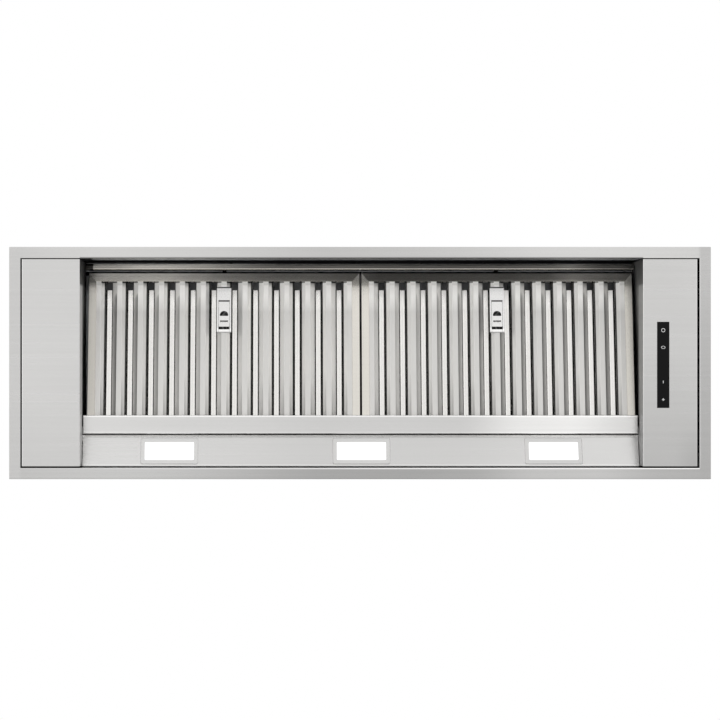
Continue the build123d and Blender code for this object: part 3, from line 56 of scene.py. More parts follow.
class Wire:
    # a node output that can be added, scaled and mixed like a number
    def __init__(self, tree, output):
        self.tree = tree
        self.output = output

    def node(self, kind, values=None, out=0, **settings):
        made = self.tree.nodes.new(kind)
        for name, value in settings.items():
            setattr(made, name, value)
        for key, value in (values or {}).items():
            if isinstance(value, Wire):
                self.tree.links.new(value.output, made.inputs[key])
            else:
                made.inputs[key].default_value = value
        return Wire(self.tree, made.outputs[out])

    def maths(self, operation, *values):
        return self.node("ShaderNodeMath", dict(enumerate(values)), operation=operation)

    def __add__(self, other):
        return self.maths("ADD", self, other)

    __radd__ = __add__

    def __mul__(self, other):
        return self.maths("MULTIPLY", self, other)

    __rmul__ = __mul__

    def __sub__(self, other):
        return self.maths("SUBTRACT", self, other)

    def __rsub__(self, other):
        return self.maths("SUBTRACT", other, self)

    def __gt__(self, other):
        return self.maths("GREATER_THAN", self, other)

    def __lt__(self, other):
        return self.maths("LESS_THAN", self, other)

    def __abs__(self):
        return self.maths("ABSOLUTE", self)

    def axes(self):
        return [self.node("ShaderNodeSeparateXYZ", {0: self}, out=axis) for axis in range(3)]

    def noise(self, scale, stretch=(1, 1, 1), detail=3.0):
        place = self.node("ShaderNodeMapping", {"Vector": self, "Scale": stretch})
        return self.node("ShaderNodeTexNoise", {"Vector": place, "Scale": scale, "Detail": detail})

    def spread(self, low, high, newLow=0.0, newHigh=1.0, ease="LINEAR"):
        return self.node(
            "ShaderNodeMapRange",
            {"Value": self, "From Min": low, "From Max": high, "To Min": newLow, "To Max": newHigh},
            interpolation_type=ease,
        )

    def rise(self, low, high):
        return self.spread(low, high, ease="SMOOTHSTEP")

    def band(self, low, high, soft):
        # one between low and high, nothing outside them
        return self.rise(low - soft, low + soft) * self.rise(high + soft, high - soft)

    def beside(self, edge, place):
        # one on a strip whose start and end are measured from an edge, and whose ends are soft
        start, end, soft = place
        return self.band(edge + start, edge + end, soft)

    def repeat(self, pitch):
        # distance from the nearest of a row of places, to its left or right
        return self.maths("WRAP", self, pitch / 2, -pitch / 2)

    def scaled(self, share, level):
        # this value, times level where share is one
        return self * (1 + share * (level - 1))

    def tint(self, dark, light):
        ends = [end if isinstance(end, Wire) else (*end, 1) for end in (dark, light)]
        return self.node("ShaderNodeMix", {0: self, 6: ends[0], 7: ends[1]}, out=2, data_type="RGBA")


def between(first, second, share):
    # the first value where share is nothing, the second where it is one
    return first + (second - first) * share


def stepped(distance, steps):
    # a value that passes through each (distance, value) in turn
    value = steps[0][1]
    for (start, first), (end, second) in zip(steps, steps[1:]):
        value = value + distance.spread(start, end, 0.0, second - first)
    return value


def newMaterial(name, **constants):
    # a material with one shader, its constants set on the shader's own sockets
    material = bpy.data.materials.new(name)
    material.use_nodes = True
    shader = material.node_tree.nodes["Principled BSDF"]
    for key, value in constants.items():
        shader.inputs[key.replace("_", " ")].default_value = value
    place = material.node_tree.nodes.new("ShaderNodeTexCoord").outputs["Object"]
    return material, shader, Wire(material.node_tree, place)


def plug(shader, name, wire):
    wire.tree.links.new(wire.output, shader.inputs[name])


def bump(place, height, strength, distance):
    return place.node("ShaderNodeBump", {"Height": height, "Strength": strength, "Distance": distance})


def eye(level):
    # linear light of a grey that a screen shows as level, from 0 to 255
    level = level / 255
    return level / 12.92 if level < 0.0405 else ((level + 0.055) / 1.055) ** 2.4


# Brushed and rolled sheet: long fine scratches, soft clouds, and each piece's painted light and shade
steelLook = {
    "tint": (1.0, 0.992, 0.978),
    "warmTint": (1.0, 0.984, 0.952),
    "shadedTint": (1.0, 0.962, 0.885),
    "grainAlong": 2,
    "grainAcross": 260,
    "fineScale": 3.1,
    "cloudSize": 2.2,
    "cloudSpan": (0.3, 0.7),
    "cloudShare": 0.05,
    "scratchSpan": (0.25, 0.75),
    "scratchShare": 0.03,
    "scratchRough": 0.7,
    "roughSpan": (0.3, 0.7),
    "scratchHeight": 0.6,
    "bump": 0.02,
    "bumpDistance": 0.001,
}


def brushedSteel(
    name, level, shade=None, dull=None, alongY=False, rough=(0.16, 0.30), metal=1.0, tint="tint"
):
    look = steelLook
    material, shader, place = newMaterial(name, Metallic=metal)
    along, across = look["grainAlong"], look["grainAcross"]
    grain = (across, along, across) if alongY else (along, across, across)
    scratches = place.noise(1.0, grain, 4.0)
    fine = place.noise(look["fineScale"], grain, 2.0)
    clouds = place.noise(look["cloudSize"], (1, 1, 1), 2.0)
    cloudy = clouds.spread(*look["cloudSpan"], 1 - look["cloudShare"], 1 + look["cloudShare"])
    scratched = scratches.spread(*look["scratchSpan"], 1 - look["scratchShare"], 1 + look["scratchShare"])
    tone = cloudy * scratched * eye(level)
    if shade:
        tone = tone * shade(place)
    plug(shader, "Base Color", tone.tint((0, 0, 0), look[tint]))
    worn = between(clouds, scratches, look["scratchRough"])
    plug(shader, "Roughness", worn.spread(*look["roughSpan"], *rough))
    height = between(fine, scratches, look["scratchHeight"])
    plug(shader, "Normal", bump(place, height, look["bump"], look["bumpDistance"]))
    if dull:
        plug(shader, "Metallic", 1 - dull(place))
    return material


# The flange: a slow painted swing of light along it, with painted shade toward the rear and on its rear outer
# rim. Round the opening its rear and right bends carry painted highlights, its front bend painted shade, and
# the rear edge that looks at the gap before the rail is painted nearly black as shade. The turned-up wall
# round the opening is painted in shade that varies along it.
# A strip's place is its start, end and softness, measured from the edge that it lies beside.
flangeLook = {
    "level": 203,
    "width": 0.0185,
    "swing": 0.11,
    "swingLength": 0.794,
    "rear": (0.86, 0.72),
    "rearStart": 0.150,
    "rearTurn": 0.1,
    "rearGlow": 0.20,
    "rearGlowPlace": (0.24, 0.44, 0.06),
    "left": (1.03, 0.95),
    "right": (0.86, 0.72),
    "sideSoft": 0.004,
    "rearBend": (1.0, 1.75),
    "rearBendTurn": 0.25,
    "rearBendPlace": (0.0003, 0.0018, 0.0002),
    "rightBend": 1.5,
    "rightBendPlace": (-0.0015, 0.0006, 0.0004),
    "frontBend": 0.45,
    "frontBendPlace": (-0.0017, 0.002, 0.0003),
    "openingSoft": 0.0002,
    "rim": 0.86,
    "rimWidth": 0.0022,
    "rearGap": 0.05,
    "rearGapPlace": (-0.0735, 0.0001, 0.0002),
    "wall": 0.36,
    "wallAlong": (
        (-0.45, 0.3), (-0.41, 0.75), (-0.35, 1.28), (-0.25, 0.85), (-0.207, 0.85), (-0.167, 0.62),
        (-0.126, 0.42), (0.24, 0.48), (0.28, 0.66), (0.32, 1.3), (0.37, 1.7), (0.40, 1.0), (0.45, 0.4),
    ),
    "rearWall": 0.24,
    "wallHeight": 0.0006,
    "wallDull": 0.85,
}
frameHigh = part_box("canopy_frame")[1]
insideX = frameHigh[0] - flangeLook["width"]
insideY = frameHigh[1] - flangeLook["width"]
coverEdges = (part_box("left_side_cover")[1][0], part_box("control_side_cover")[0][0])


def flangeShade(place):
    look = flangeLook
    x, y, z = place.axes()
    along = 1 - x.maths("COSINE", x * (2 * pi / look["swingLength"])) * look["swing"]
    behind = x.spread(-insideX, look["rearTurn"], *look["rear"])
    behind = behind * (1 + x.beside(0, look["rearGlowPlace"]) * look["rearGlow"])
    shade = along * between(1, behind, y.rise(look["rearStart"], insideY))
    soft = look["sideSoft"]
    for edge, turn, ends in ((-insideX, -soft, look["left"]), (insideX, soft, look["right"])):
        shade = between(shade, y.spread(-insideY, insideY, *ends), x.rise(edge - turn, edge + turn))
    rearBend = y.beside(insideY, look["rearBendPlace"]) * (abs(x) < insideX)
    shade = between(shade, x.spread(-insideX, look["rearBendTurn"], *look["rearBend"]), rearBend)
    rightBend = x.beside(insideX, look["rightBendPlace"]) * (abs(y) < insideY)
    shade = between(shade, look["rightBend"], rightBend)
    frontBend = y.beside(-insideY, look["frontBendPlace"]) * x.band(*coverEdges, look["openingSoft"])
    shade = shade.scaled(frontBend, look["frontBend"])
    shade = shade.scaled(y > frameHigh[1] - look["rimWidth"], look["rim"])
    rearGap = y.beside(insideY, look["rearGapPlace"]) * (abs(x) < insideX)
    shade = between(shade, look["rearGap"], rearGap)
    wall = between(stepped(x, look["wallAlong"]) * look["wall"], look["rearWall"], y > 0)
    return between(shade, wall, z > look["wallHeight"])


def flangeDull(place):
    # the turned-up wall round the opening hardly mirrors
    x, y, z = place.axes()
    return (z > flangeLook["wallHeight"]) * flangeLook["wallDull"]


# The covers: nearly even, with painted highlights on their folded edges, and painted shade toward the rear
# and, on the right one, toward its far corner
coverLook = {
    "left_side_cover": {"level": 210, "front": 1.0, "rear": 0.91, "edge": 1.25},
    "control_side_cover": {"level": 194, "front": 1.10, "rear": 0.92, "edge": 1.28},
    "fadeStart": -0.03,
    "edgePlace": (-0.001, 0.0013, 0.0004),
    "farEdgePlace": (-0.0012, 0.001, 0.0004),
    "corner": 0.88,
    "cornerReach": (0.045, 0.09),
}


def coverShade(node):
    low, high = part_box(node)
    look = coverLook[node]

    def shade(place):
        x, y, z = place.axes()
        tone = y.spread(coverLook["fadeStart"], high[1], look["front"], look["rear"])
        if low[0] > 0:
            reachX, reachY = coverLook["cornerReach"]
            corner = x.rise(high[0] - reachX, high[0]) * y.rise(high[1] - reachY, high[1])
            tone = tone.scaled(corner, coverLook["corner"])
            tone = tone.scaled(x.beside(high[0], coverLook["farEdgePlace"]), (look["edge"] + 1) / 2)
        return tone.scaled(x.beside(low[0], coverLook["edgePlace"]), look["edge"])

    return shade


# The two rails behind the filters: painted highlights on the bend in front and on the rear edge, and painted
# light that rises toward the right.
# The bend is measured from the front, the edge from the rear.
railLook = {
    "level": 210,
    "left": 1.05,
    "middle": 0.97,
    "middleX": -0.05,
    "right": 1.10,
    "rightStart": 0.1,
    "restGlow": 0.26,
    "glowPlace": (0.22, 0.40, 0.06),
    "bend": 1.7,
    "bendPlace": (0.0012, 0.0036),
    "edge": 1.12,
    "edgePlace": (-0.004, 0.001, 0.0008),
}


def railShade(node, glow=0.0):
    low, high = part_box(node)

    def shade(place):
        look = railLook
        x, y, z = place.axes()
        tone = x.spread(low[0], look["middleX"], look["left"], look["middle"])
        tone = between(tone, look["right"], x.rise(look["rightStart"], high[0]))
        tone = tone * (1 + x.beside(0, look["glowPlace"]) * glow)
        tone = tone * (y - low[1]).spread(*look["bendPlace"], look["bend"], 1.0)
        return tone.scaled(y.beside(high[1], look["edgePlace"]), look["edge"])

    return shade


# Inside of the opening: painted light and shade on the walls, darkest behind the lip and above the rails. The
# front sheet's inner face gets painted light and shade along it, with painted shade high up, to the right and
# in the left corner.
wallLook = {
    "level": 162,
    "rough": (0.4, 0.55),
    "metal": 0.25,
    "left": 1.5,
    "front": (0.08, 0.30),
    "frontY": -0.130,
    "high": 0.08,
    "highFront": 0.40,
    "highPlace": (-0.10, -0.03),
    "top": 0.057,
    "soft": 0.003,
}
frontLook = {
    "face": -0.1752,
    "right": 0.50,
    "rightPlace": (0.05, 0.40),
    "top": 0.112,
    "high": 0.04,
    "corner": -0.449,
    "dark": 0.10,
    "dull": 0.75,
    "along": (
        (-0.45, 0.7), (-0.41, 1.43), (-0.37, 1.48), (-0.329, 1.27), (-0.288, 1.06), (-0.248, 0.90),
        (-0.167, 0.80), (-0.126, 0.57), (0.077, 0.57), (0.158, 0.66), (0.24, 0.64), (0.28, 0.79),
        (0.321, 1.02), (0.362, 1.8),
    ),
}


def wallShade(place):
    look = wallLook
    x, y, z = place.axes()
    soft = look["soft"]
    right = x > 0
    high = y.spread(*look["highPlace"], look["highFront"], look["high"])
    tone = between(between(look["left"], 1, right), high, z.rise(look["top"] - soft, look["top"] + soft))
    front = y.rise(look["frontY"] + soft, look["frontY"] - soft)
    return between(tone, between(*look["front"], right), front)


def frontShade(place):
    look = frontLook
    x, y, z = place.axes()
    tone = x.spread(*look["rightPlace"], 1.0, look["right"]) * stepped(x, look["along"])
    tone = between(tone, look["high"], z > look["top"])
    tone = tone.scaled(x < look["corner"], look["dark"])
    return between(1, tone, y > look["face"])


def frontDull(place):
    # the sheet's rear face, which looks into the recess, hardly mirrors
    x, y, z = place.axes()
    return (y > frontLook["face"]) * frontLook["dull"]


# The lip rail, in painted light and shade: a darker painted face between a painted highlight on its front
# edge and a painted bright line on its rear fold, with uprights painted dark as shade
lipLook = {
    "level": 128,
    "spread": ((0.0000, 3.0), (0.0016, 3.0), (0.0034, 1.1), (0.0052, 0.70), (0.0070, 0.65)),
    "along": (
        (-0.45, 1.9), (-0.41, 2.0), (-0.37, 3.0), (-0.329, 2.9), (-0.288, 2.4), (-0.207, 1.28),
        (-0.167, 0.87), (-0.126, 0.70), (-0.004, 0.72), (0.037, 0.61), (0.158, 0.54), (0.28, 0.65),
        (0.321, 0.72), (0.362, 1.05), (0.402, 0.90), (0.443, 0.85),
    ),
    "line": 4.6,
    "linePlace": (0.0080, 0.0094),
    "right": 0.40,
    "rightPlace": (0.34, 0.42),
    "uprightHeight": 0.0056,
    "frontUpright": 0.06,
    "rearUpright": 0.35,
    "behind": (
        (-0.37, 2.6), (-0.329, 2.6), (-0.207, 1.1), (-0.167, 0.95), (0.077, 1.0), (0.2, 1.35), (0.25, 2.2),
        (0.37, 2.2), (0.44, 1.3),
    ),
}
lipLow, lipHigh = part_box("lip_rail")
lipMiddle = (lipLow[1] + lipHigh[1]) / 2


def lipShade(place):
    look = lipLook
    x, y, z = place.axes()
    fromFront = y - lipLow[1]
    tone = stepped(fromFront, look["spread"]) * stepped(x, look["along"])
    tone = between(tone, look["line"], fromFront.spread(*look["linePlace"]))
    tone = tone.scaled(x.rise(*look["rightPlace"]), look["right"])
    tone = tone.scaled(x < frontLook["corner"], frontLook["dark"])
    rearUpright = stepped(x, look["behind"]) * look["rearUpright"]
    upright = between(look["frontUpright"], rearUpright, y > lipMiddle)
    return tone.scaled(z > lipLow[2] + look["uprightHeight"], upright)


# The plane of the filters' undersides: a point on it, its slope, and the heights over it that part the lower
# side of the frames, the front webs and the rear webs from what looks up
filterPlane = {
    "y": 0.08934,
    "z": 0.05376,
    "tilt": radians(11.0),
    "face": 0.0008,
    "frontWeb": 0.0014,
    "rearWeb": 0.0206,
}


def aboveFilter(y, z):
    # height over the filter's underside, square to its slope
    tilt = filterPlane["tilt"]
    return (z - filterPlane["z"]) * cos(tilt) + (y - filterPlane["y"]) * sin(tilt)


def lowerFace(y, z, fromWeb, web, rise):
    # one on the side of a folded baffle that looks down, nothing on its other side
    fold = fromWeb.maths("MAXIMUM", fromWeb, 0.0)
    return (aboveFilter(y, z) - fold * rise) < web


# The filters' frames: a rail in front in painted shade that varies along it, light stiles with a painted dark
# outer edge and painted shadow over their front ends, and the mitre between
filterLook = {
    "level": 208,
    "rough": (0.16, 0.26),
    "rail": 0.0148,
    "railSoft": 0.0004,
    "stile": 0.013,
    "railSpread": ((0.0006, 0.05), (0.0012, 0.70), (0.010, 0.75), (0.0125, 0.95), (0.0146, 1.3)),
    "railAlong": (
        (-0.40, 1.7), (-0.33, 1.75), (-0.288, 1.3), (-0.248, 1.02), (-0.207, 0.76), (-0.16, 0.62),
        (-0.085, 0.65), (-0.004, 0.46), (0.037, 0.29), (0.118, 0.30), (0.20, 0.38), (0.321, 0.43),
        (0.362, 0.68), (0.42, 0.48),
    ),
    "stileAlong": ((-0.45, 0.85), (-0.1, 1.16), (0.1, 1.16), (0.45, 1.05)),
    "edge": 0.05,
    "edgeWidth": 0.0007,
    "shaded": 0.82,
    "shadedPlace": (-0.128, -0.132),
}


def filterShade(side):
    low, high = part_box(side + "_filter_frame")

    def shade(place):
        look = filterLook
        x, y, z = place.axes()
        fromFront = y - low[1]
        fromSide = x.maths("MINIMUM", x - low[0], high[0] - x)
        rail = stepped(fromFront, look["railSpread"]) * stepped(x, look["railAlong"])
        stile = stepped(x, look["stileAlong"])
        stile = stile.scaled(fromSide < look["edgeWidth"], look["edge"])
        stile = stile.scaled(y.rise(*look["shadedPlace"]), look["shaded"])
        # the mitre runs where the share of the rail's width equals the share of the stile's
        onRail = (fromFront * (1 / look["rail"])) < (fromSide * (1 / look["stile"]))
        onRail = onRail * (fromFront < look["rail"] + look["railSoft"])
        return between(1, between(stile, rail, onRail), aboveFilter(y, z) < filterPlane["face"])

    return shade


# The front baffles, in painted light and shade: light webs with a painted glow near the front, shoulders in
# painted shade away from the hood's middle and toward the rear, and painted highlights on bends and near the
# front.
# An Edge is measured across from the web's own edge, and a Place back from the baffles' front end.
baffleLook = {
    "level": 216,
    "rough": (0.30, 0.42),
    "metal": 0.45,
    "dullEdge": 0.0004,
    "dullPlace": (0.020, 0.050),
    "pitch": 0.0353,
    "web": 0.00415,
    "middleX": -0.10,
    "shoulder": 1.30,
    "shoulderEdge": (-0.0002, 0.0006),
    "outward": 0.80,
    "outwardReach": (0.03, 0.33),
    "outwardPlace": (0.014, 0.045),
    "rearward": 0.40,
    "rearwardY": (0.0, 0.09),
    "deep": 0.20,
    "deepEdge": (0.0010, 0.0067),
    "rightShade": 0.75,
    "rightShadePlace": (0.0148, 0.0308),
    "leftGlow": 1.1,
    "leftGlowPlace": (0.0150, 0.0410),
    "webFront": 0.70,
    "webFrontPlace": (0.0205, 0.0190),
    "bend": 1.10,
    "bendEdge": (-0.0003, 0.0005, 0.0003),
    "frontGlow": 1.8,
    "frontGlowPlace": (0.0148, 0.0648),
    "hook": 0.02,
    "hookEdge": (0.00525, 0.00605),
    "end": 0.1,
    "endPlace": (0.0160, 0.0152),
    "latch": 0.03,
    "latchHalf": 0.0119,
    "latchFront": 0.0007,
    "latchSoft": 0.0002,
}


def baffleShade(side):
    low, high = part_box(side + "_front_baffles")
    middle = (low[0] + high[0]) / 2
    latchLow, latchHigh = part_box(side + "_latch_plate")
    latchX = (latchLow[0] + latchHigh[0]) / 2

    def shade(place):
        look = baffleLook
        x, y, z = place.axes()
        fromFront = y - low[1]
        offset = (x - middle).repeat(look["pitch"])
        fromWeb = abs(offset) - look["web"]
        shoulder = fromWeb.rise(*look["shoulderEdge"])
        # how far out a shoulder stands on the side of its web that faces away from the hood's middle
        away = offset.maths("SIGN", offset) * (x - look["middleX"])
        outward = away.rise(*look["outwardReach"]) * fromFront.rise(*look["outwardPlace"]) * look["outward"]
        rearward = y.rise(*look["rearwardY"]) * look["rearward"]
        deep = fromWeb.spread(*look["deepEdge"], 1.0, look["deep"])
        dark = outward.maths("MAXIMUM", outward, rearward) * deep
        rightShade = fromFront.spread(*look["rightShadePlace"], look["rightShade"], 0.0) * (offset > 0)
        leftGlow = fromFront.spread(*look["leftGlowPlace"], look["leftGlow"], 0.0) * (offset < 0)
        tone = 1 + shoulder * (look["shoulder"] - 1)
        for change in (1 - dark, 1 - rightShade, 1 + leftGlow):
            tone = tone.scaled(shoulder, change)
        tone = tone.scaled((1 - shoulder) * fromFront.rise(*look["webFrontPlace"]), look["webFront"])
        tone = tone.scaled(fromWeb.band(*look["bendEdge"]), look["bend"])
        tone = tone * fromFront.spread(*look["frontGlowPlace"], look["frontGlow"], 1.0)
        # painted shade: the hooked edges toward the middle, the shoulders' front ends and the patch over the
        # latch are painted dark
        tone = tone.scaled(fromWeb.rise(*look["hookEdge"]) * (away < 0), look["hook"])
        tone = tone.scaled(shoulder * fromFront.rise(*look["endPlace"]), look["end"])
        alongLatch = y.band(latchLow[1] - look["latchFront"], latchHigh[1], look["latchSoft"])
        tone = tone.scaled((abs(x - latchX) < look["latchHalf"]) * alongLatch, look["latch"])
        return between(1, tone, lowerFace(y, z, fromWeb, filterPlane["frontWeb"], 1))

    return shade


def baffleDull(side):
    # the shoulders that face left scatter more light near the front
    low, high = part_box(side + "_front_baffles")
    middle = (low[0] + high[0]) / 2

    def dull(place):
        look = baffleLook
        x, y, z = place.axes()
        left = (x - middle).repeat(look["pitch"]) < -look["web"] - look["dullEdge"]
        near = (y - low[1]).spread(*look["dullPlace"], 1.0, 0.0)
        return between(1 - look["metal"], 1, near * left)

    return dull


# The rear baffles, seen in the slots between the front ones: bright webs with a painted glow near the front
# and a slightly darker painted centre, between shoulders painted black as shade
rearBaffleLook = {
    "level": 248,
    "rough": (0.24, 0.34),
    "core": 0.86,
    "coreHalf": 0.00249,
    "glow": 1.5,
    "glowPlace": (0.028, 0.060),
    "shoulder": 0.01,
    "shoulderEdge": (-0.0002, 0.0005),
    "upper": 0.75,
}


def rearBaffleShade(side):
    low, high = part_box(side + "_rear_baffles")
    middle = (low[0] + high[0]) / 2

    def shade(place):
        look = rearBaffleLook
        x, y, z = place.axes()
        # the row is even in number, so its webs stand half a pitch from its middle
        pitch = baffleLook["pitch"]
        offset = abs((x - middle - pitch / 2).repeat(pitch))
        fromWeb = offset - baffleLook["web"]
        core = offset.spread(0.0, look["coreHalf"], look["core"], 1.0)
        core = core * (y - low[1]).spread(*look["glowPlace"], look["glow"], 1.0)
        tone = between(core, look["shoulder"], fromWeb.rise(*look["shoulderEdge"]))
        return between(look["upper"], tone, lowerFace(y, z, fromWeb, filterPlane["rearWeb"], -1))

    return shade


# The latch: bright plate and slider, each with a painted shadow line at its front edge, a painted shadow line
# and a painted highlight at its rear, darker painted lines along its sides, and the slider's tongue.
# The first lines are measured from the plate's front end, the rear line and the glow from its rear end.
latchLook = {
    "level": 232,
    "line": 0.05,
    "plateLine": (-0.0003, 0.0013, 0.0002),
    "sliderLine": (0.0218, 0.0243, 0.0002),
    "side": 0.70,
    "sidePlace": (0.0085, 0.0095, 0.0002),
    "sideStart": (0.020, 0.022),
    "rear": 0.35,
    "rearWidth": 0.0009,
    "glow": 1.25,
    "glowPlace": (-0.0075, -0.0030, 0.0006),
    "inner": 0.03,
    "innerHeight": 0.0022,
    "tipY": -0.1527,
    "tip": 0.4,
    "tipPlace": (-0.0028, 0.0, 0.0002),
}


def latchShade(side, line):
    low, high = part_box(side + "_latch_plate")
    middle = (low[0] + high[0]) / 2

    def shade(place):
        look = latchLook
        x, y, z = place.axes()
        tone = between(1, look["line"], y.beside(low[1], line))
        tone = tone.scaled(y > high[1] - look["rearWidth"], look["rear"])
        tone = tone.scaled(y.beside(high[1], look["glowPlace"]), look["glow"])
        sides = abs(x - middle).band(*look["sidePlace"]) * (y - low[1]).rise(*look["sideStart"])
        return tone.scaled(sides, look["side"])

    return shade


def sliderShade(side):
    # painted shade on the slider's tongue and its upright, where the filter shades them
    plateShade = latchShade(side, latchLook["sliderLine"])

    def shade(place):
        look = latchLook
        x, y, z = place.axes()
        tone = plateShade(place).scaled(aboveFilter(y, z) > look["innerHeight"], look["inner"])
        tone = tone.scaled(y.beside(look["tipY"], look["tipPlace"]), look["inner"])
        return tone.scaled(y < look["tipY"], look["tip"])

    return shade


# Zinc-coated sheet and cast metal, with their crystal pattern
zincLook = {
    "sheet": ((0.42, 0.43, 0.44), (0.58, 0.59, 0.60)),
    "frontSheet": ((0.42, 0.43, 0.44), (0.60, 0.61, 0.62)),
    "cast": ((0.50, 0.51, 0.52), (0.60, 0.61, 0.62)),
    "housing": ((0.40, 0.41, 0.42), (0.50, 0.51, 0.52)),
    "crystalScale": 90.0,
    "crystalShare": 0.6,
    "cloudScale": 6.0,
    "colourSpan": (0.2, 0.8),
    "roughSpan": (0.1, 0.9),
    "bump": 0.04,
    "bumpDistance": 0.001,
}


def galvanised(name, colours, rough=(0.34, 0.5), shade=None, dull=None):
    look = zincLook
    material, shader, place = newMaterial(name, Metallic=1.0)
    crystals = place.node("ShaderNodeTexVoronoi", {"Vector": place, "Scale": look["crystalScale"]}, out=1)
    grey = place.node("ShaderNodeRGBToBW", {0: crystals})
    clouds = place.noise(look["cloudScale"])
    mottle = between(clouds, grey, look["crystalShare"])
    colour = mottle.spread(*look["colourSpan"]).tint(*colours)
    if shade:
        colour = shade(place).tint((0, 0, 0), colour)
    plug(shader, "Base Color", colour)
    plug(shader, "Roughness", grey.spread(*look["roughSpan"], *rough))
    plug(shader, "Normal", bump(place, grey, look["bump"], look["bumpDistance"]))
    if dull:
        plug(shader, "Metallic", 1 - dull(place))
    return material


# The deck over the recess: painted shade on its underside over the filters' front ends, deepest along the
# front wall, where a thin painted line of light shows. A second painted line of light and a painted black gap
# run behind the lip.
deckLook = {
    "front": 0.35,
    "frontY": (-0.110, -0.130),
    "wall": 0.08,
    "wallY": (-0.160, -0.168),
    "wallLine": ((-0.36, 0.7), (-0.12, 0.09)),
    "wallLineY": (-0.1716, -0.1690, 0.0003),
    "gapY": (-0.1563, -0.150, 0.0002),
    "lipLineY": (-0.1584, -0.1563, 0.0002),
    "rivet": 0.04,
    "rivetY": -0.165,
}
deckLow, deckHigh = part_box("deck_plate")
deckMiddle = (deckLow[2] + deckHigh[2]) / 2


def deckShade(place):
    look = deckLook
    x, y, z = place.axes()
    shade = between(1, look["front"], y.rise(*look["frontY"])).scaled(y.rise(*look["wallY"]), look["wall"])
    shade = shade + y.band(*look["wallLineY"]) * stepped(x, look["wallLine"])
    shade = shade * (1 - y.band(*look["gapY"]))
    shade = shade + y.band(*look["lipLineY"]) * stepped(x, lipLook["behind"])
    return between(1, shade, z < deckMiddle)


def rivetShade(place):
    # painted shade on the front row's heads, which sit under the deck in the dark gap behind the flange
    x, y, z = place.axes()
    return between(1, deckLook["rivet"], (y < deckLook["rivetY"]) * (z < deckMiddle))


# Injection moulded plastic or rubber with a fine spark-eroded grain
mouldedLook = {
    "plastic": ((0.012, 0.012, 0.013), (0.03, 0.03, 0.032)),
    "rubber": ((0.010, 0.010, 0.010), (0.022, 0.022, 0.022)),
    "pits": 900.0,
    "clouds": 14.0,
    "span": (0.3, 0.7),
    "bump": 0.08,
    "bumpDistance": 0.0005,
}


def moulded(name, colours, rough):
    look = mouldedLook
    material, shader, place = newMaterial(name)
    pits = place.noise(look["pits"], detail=2.0)
    clouds = place.noise(look["clouds"], detail=2.0)
    plug(shader, "Base Color", clouds.spread(*look["span"]).tint(*colours))
    plug(shader, "Roughness", pits.spread(*look["span"], *rough))
    plug(shader, "Normal", bump(place, pits, look["bump"], look["bumpDistance"]))
    return material


# Circuit board: green solder resist with paler tracks
boardLook = {
    "colours": ((0.012, 0.09, 0.03), (0.05, 0.22, 0.08)),
    "trackScale": 60.0,
    "trackBend": 6.0,
    "trackStart": 0.72,
    "rough": (0.3, 0.45),
    "coat": 0.4,
    "coatRough": 0.15,
}


def circuitBoard(name):
    look = boardLook
    material, shader, place = newMaterial(name, Coat_Weight=look["coat"], Coat_Roughness=look["coatRough"])
    winding = {"Vector": place, "Scale": look["trackScale"], "Distortion": look["trackBend"], "Detail": 1.0}
    tracks = place.node("ShaderNodeTexWave", winding)
    plug(shader, "Base Color", (tracks > look["trackStart"]).tint(*look["colours"]))
    plug(shader, "Roughness", tracks.spread(0.0, 1.0, *look["rough"]))
    return material


# Lamp lens: a frosted diffuser lit evenly from behind
lensLook = {
    "strength": 1.03,
    "rough": 0.35,
    "frost": 1500.0,
    "surface": ((0.30, 0.30, 0.30), (0.36, 0.36, 0.36)),
    "light": ((0.94, 0.95, 0.96), (0.99, 0.99, 0.99)),
    "bump": 0.05,
    "bumpDistance": 0.0002,
}


def litDiffuser(name):
    look = lensLook
    material, shader, place = newMaterial(name, Roughness=look["rough"], Emission_Strength=look["strength"])
    frost = place.noise(look["frost"], detail=2.0)
    plug(shader, "Base Color", frost.tint(*look["surface"]))
    plug(shader, "Emission Color", frost.tint(*look["light"]))
    plug(shader, "Normal", bump(place, frost, look["bump"], look["bumpDistance"]))
    return material


# Touch glass: black print behind clear glass, with the faint smears of a wiped surface
glassLook = {
    "ior": 1.45,
    "specular": 0.14,
    "smearScale": 26.0,
    "smearStretch": (1, 0.3, 1),
    "smearSpan": (0.3, 0.7),
    "colours": ((0.0015, 0.0015, 0.0017), (0.004, 0.004, 0.0044)),
    "rough": (0.10, 0.2),
}


def blackGlass(name):
    look = glassLook
    material, shader, place = newMaterial(name, IOR=look["ior"], Specular_IOR_Level=look["specular"])
    smears = place.noise(look["smearScale"], look["smearStretch"], 4.0)
    plug(shader, "Base Color", smears.tint(*look["colours"]))
    plug(shader, "Roughness", smears.spread(*look["smearSpan"], *look["rough"]))
    return material


# Small steel parts that need no shade of their own
plainLook = {
    "fastener": {"level": 195, "rough": (0.2, 0.35)},
    "spring": {"level": 165, "rough": (0.2, 0.35)},
    "bezel": {"level": 214, "rough": (0.3, 0.4)},
}

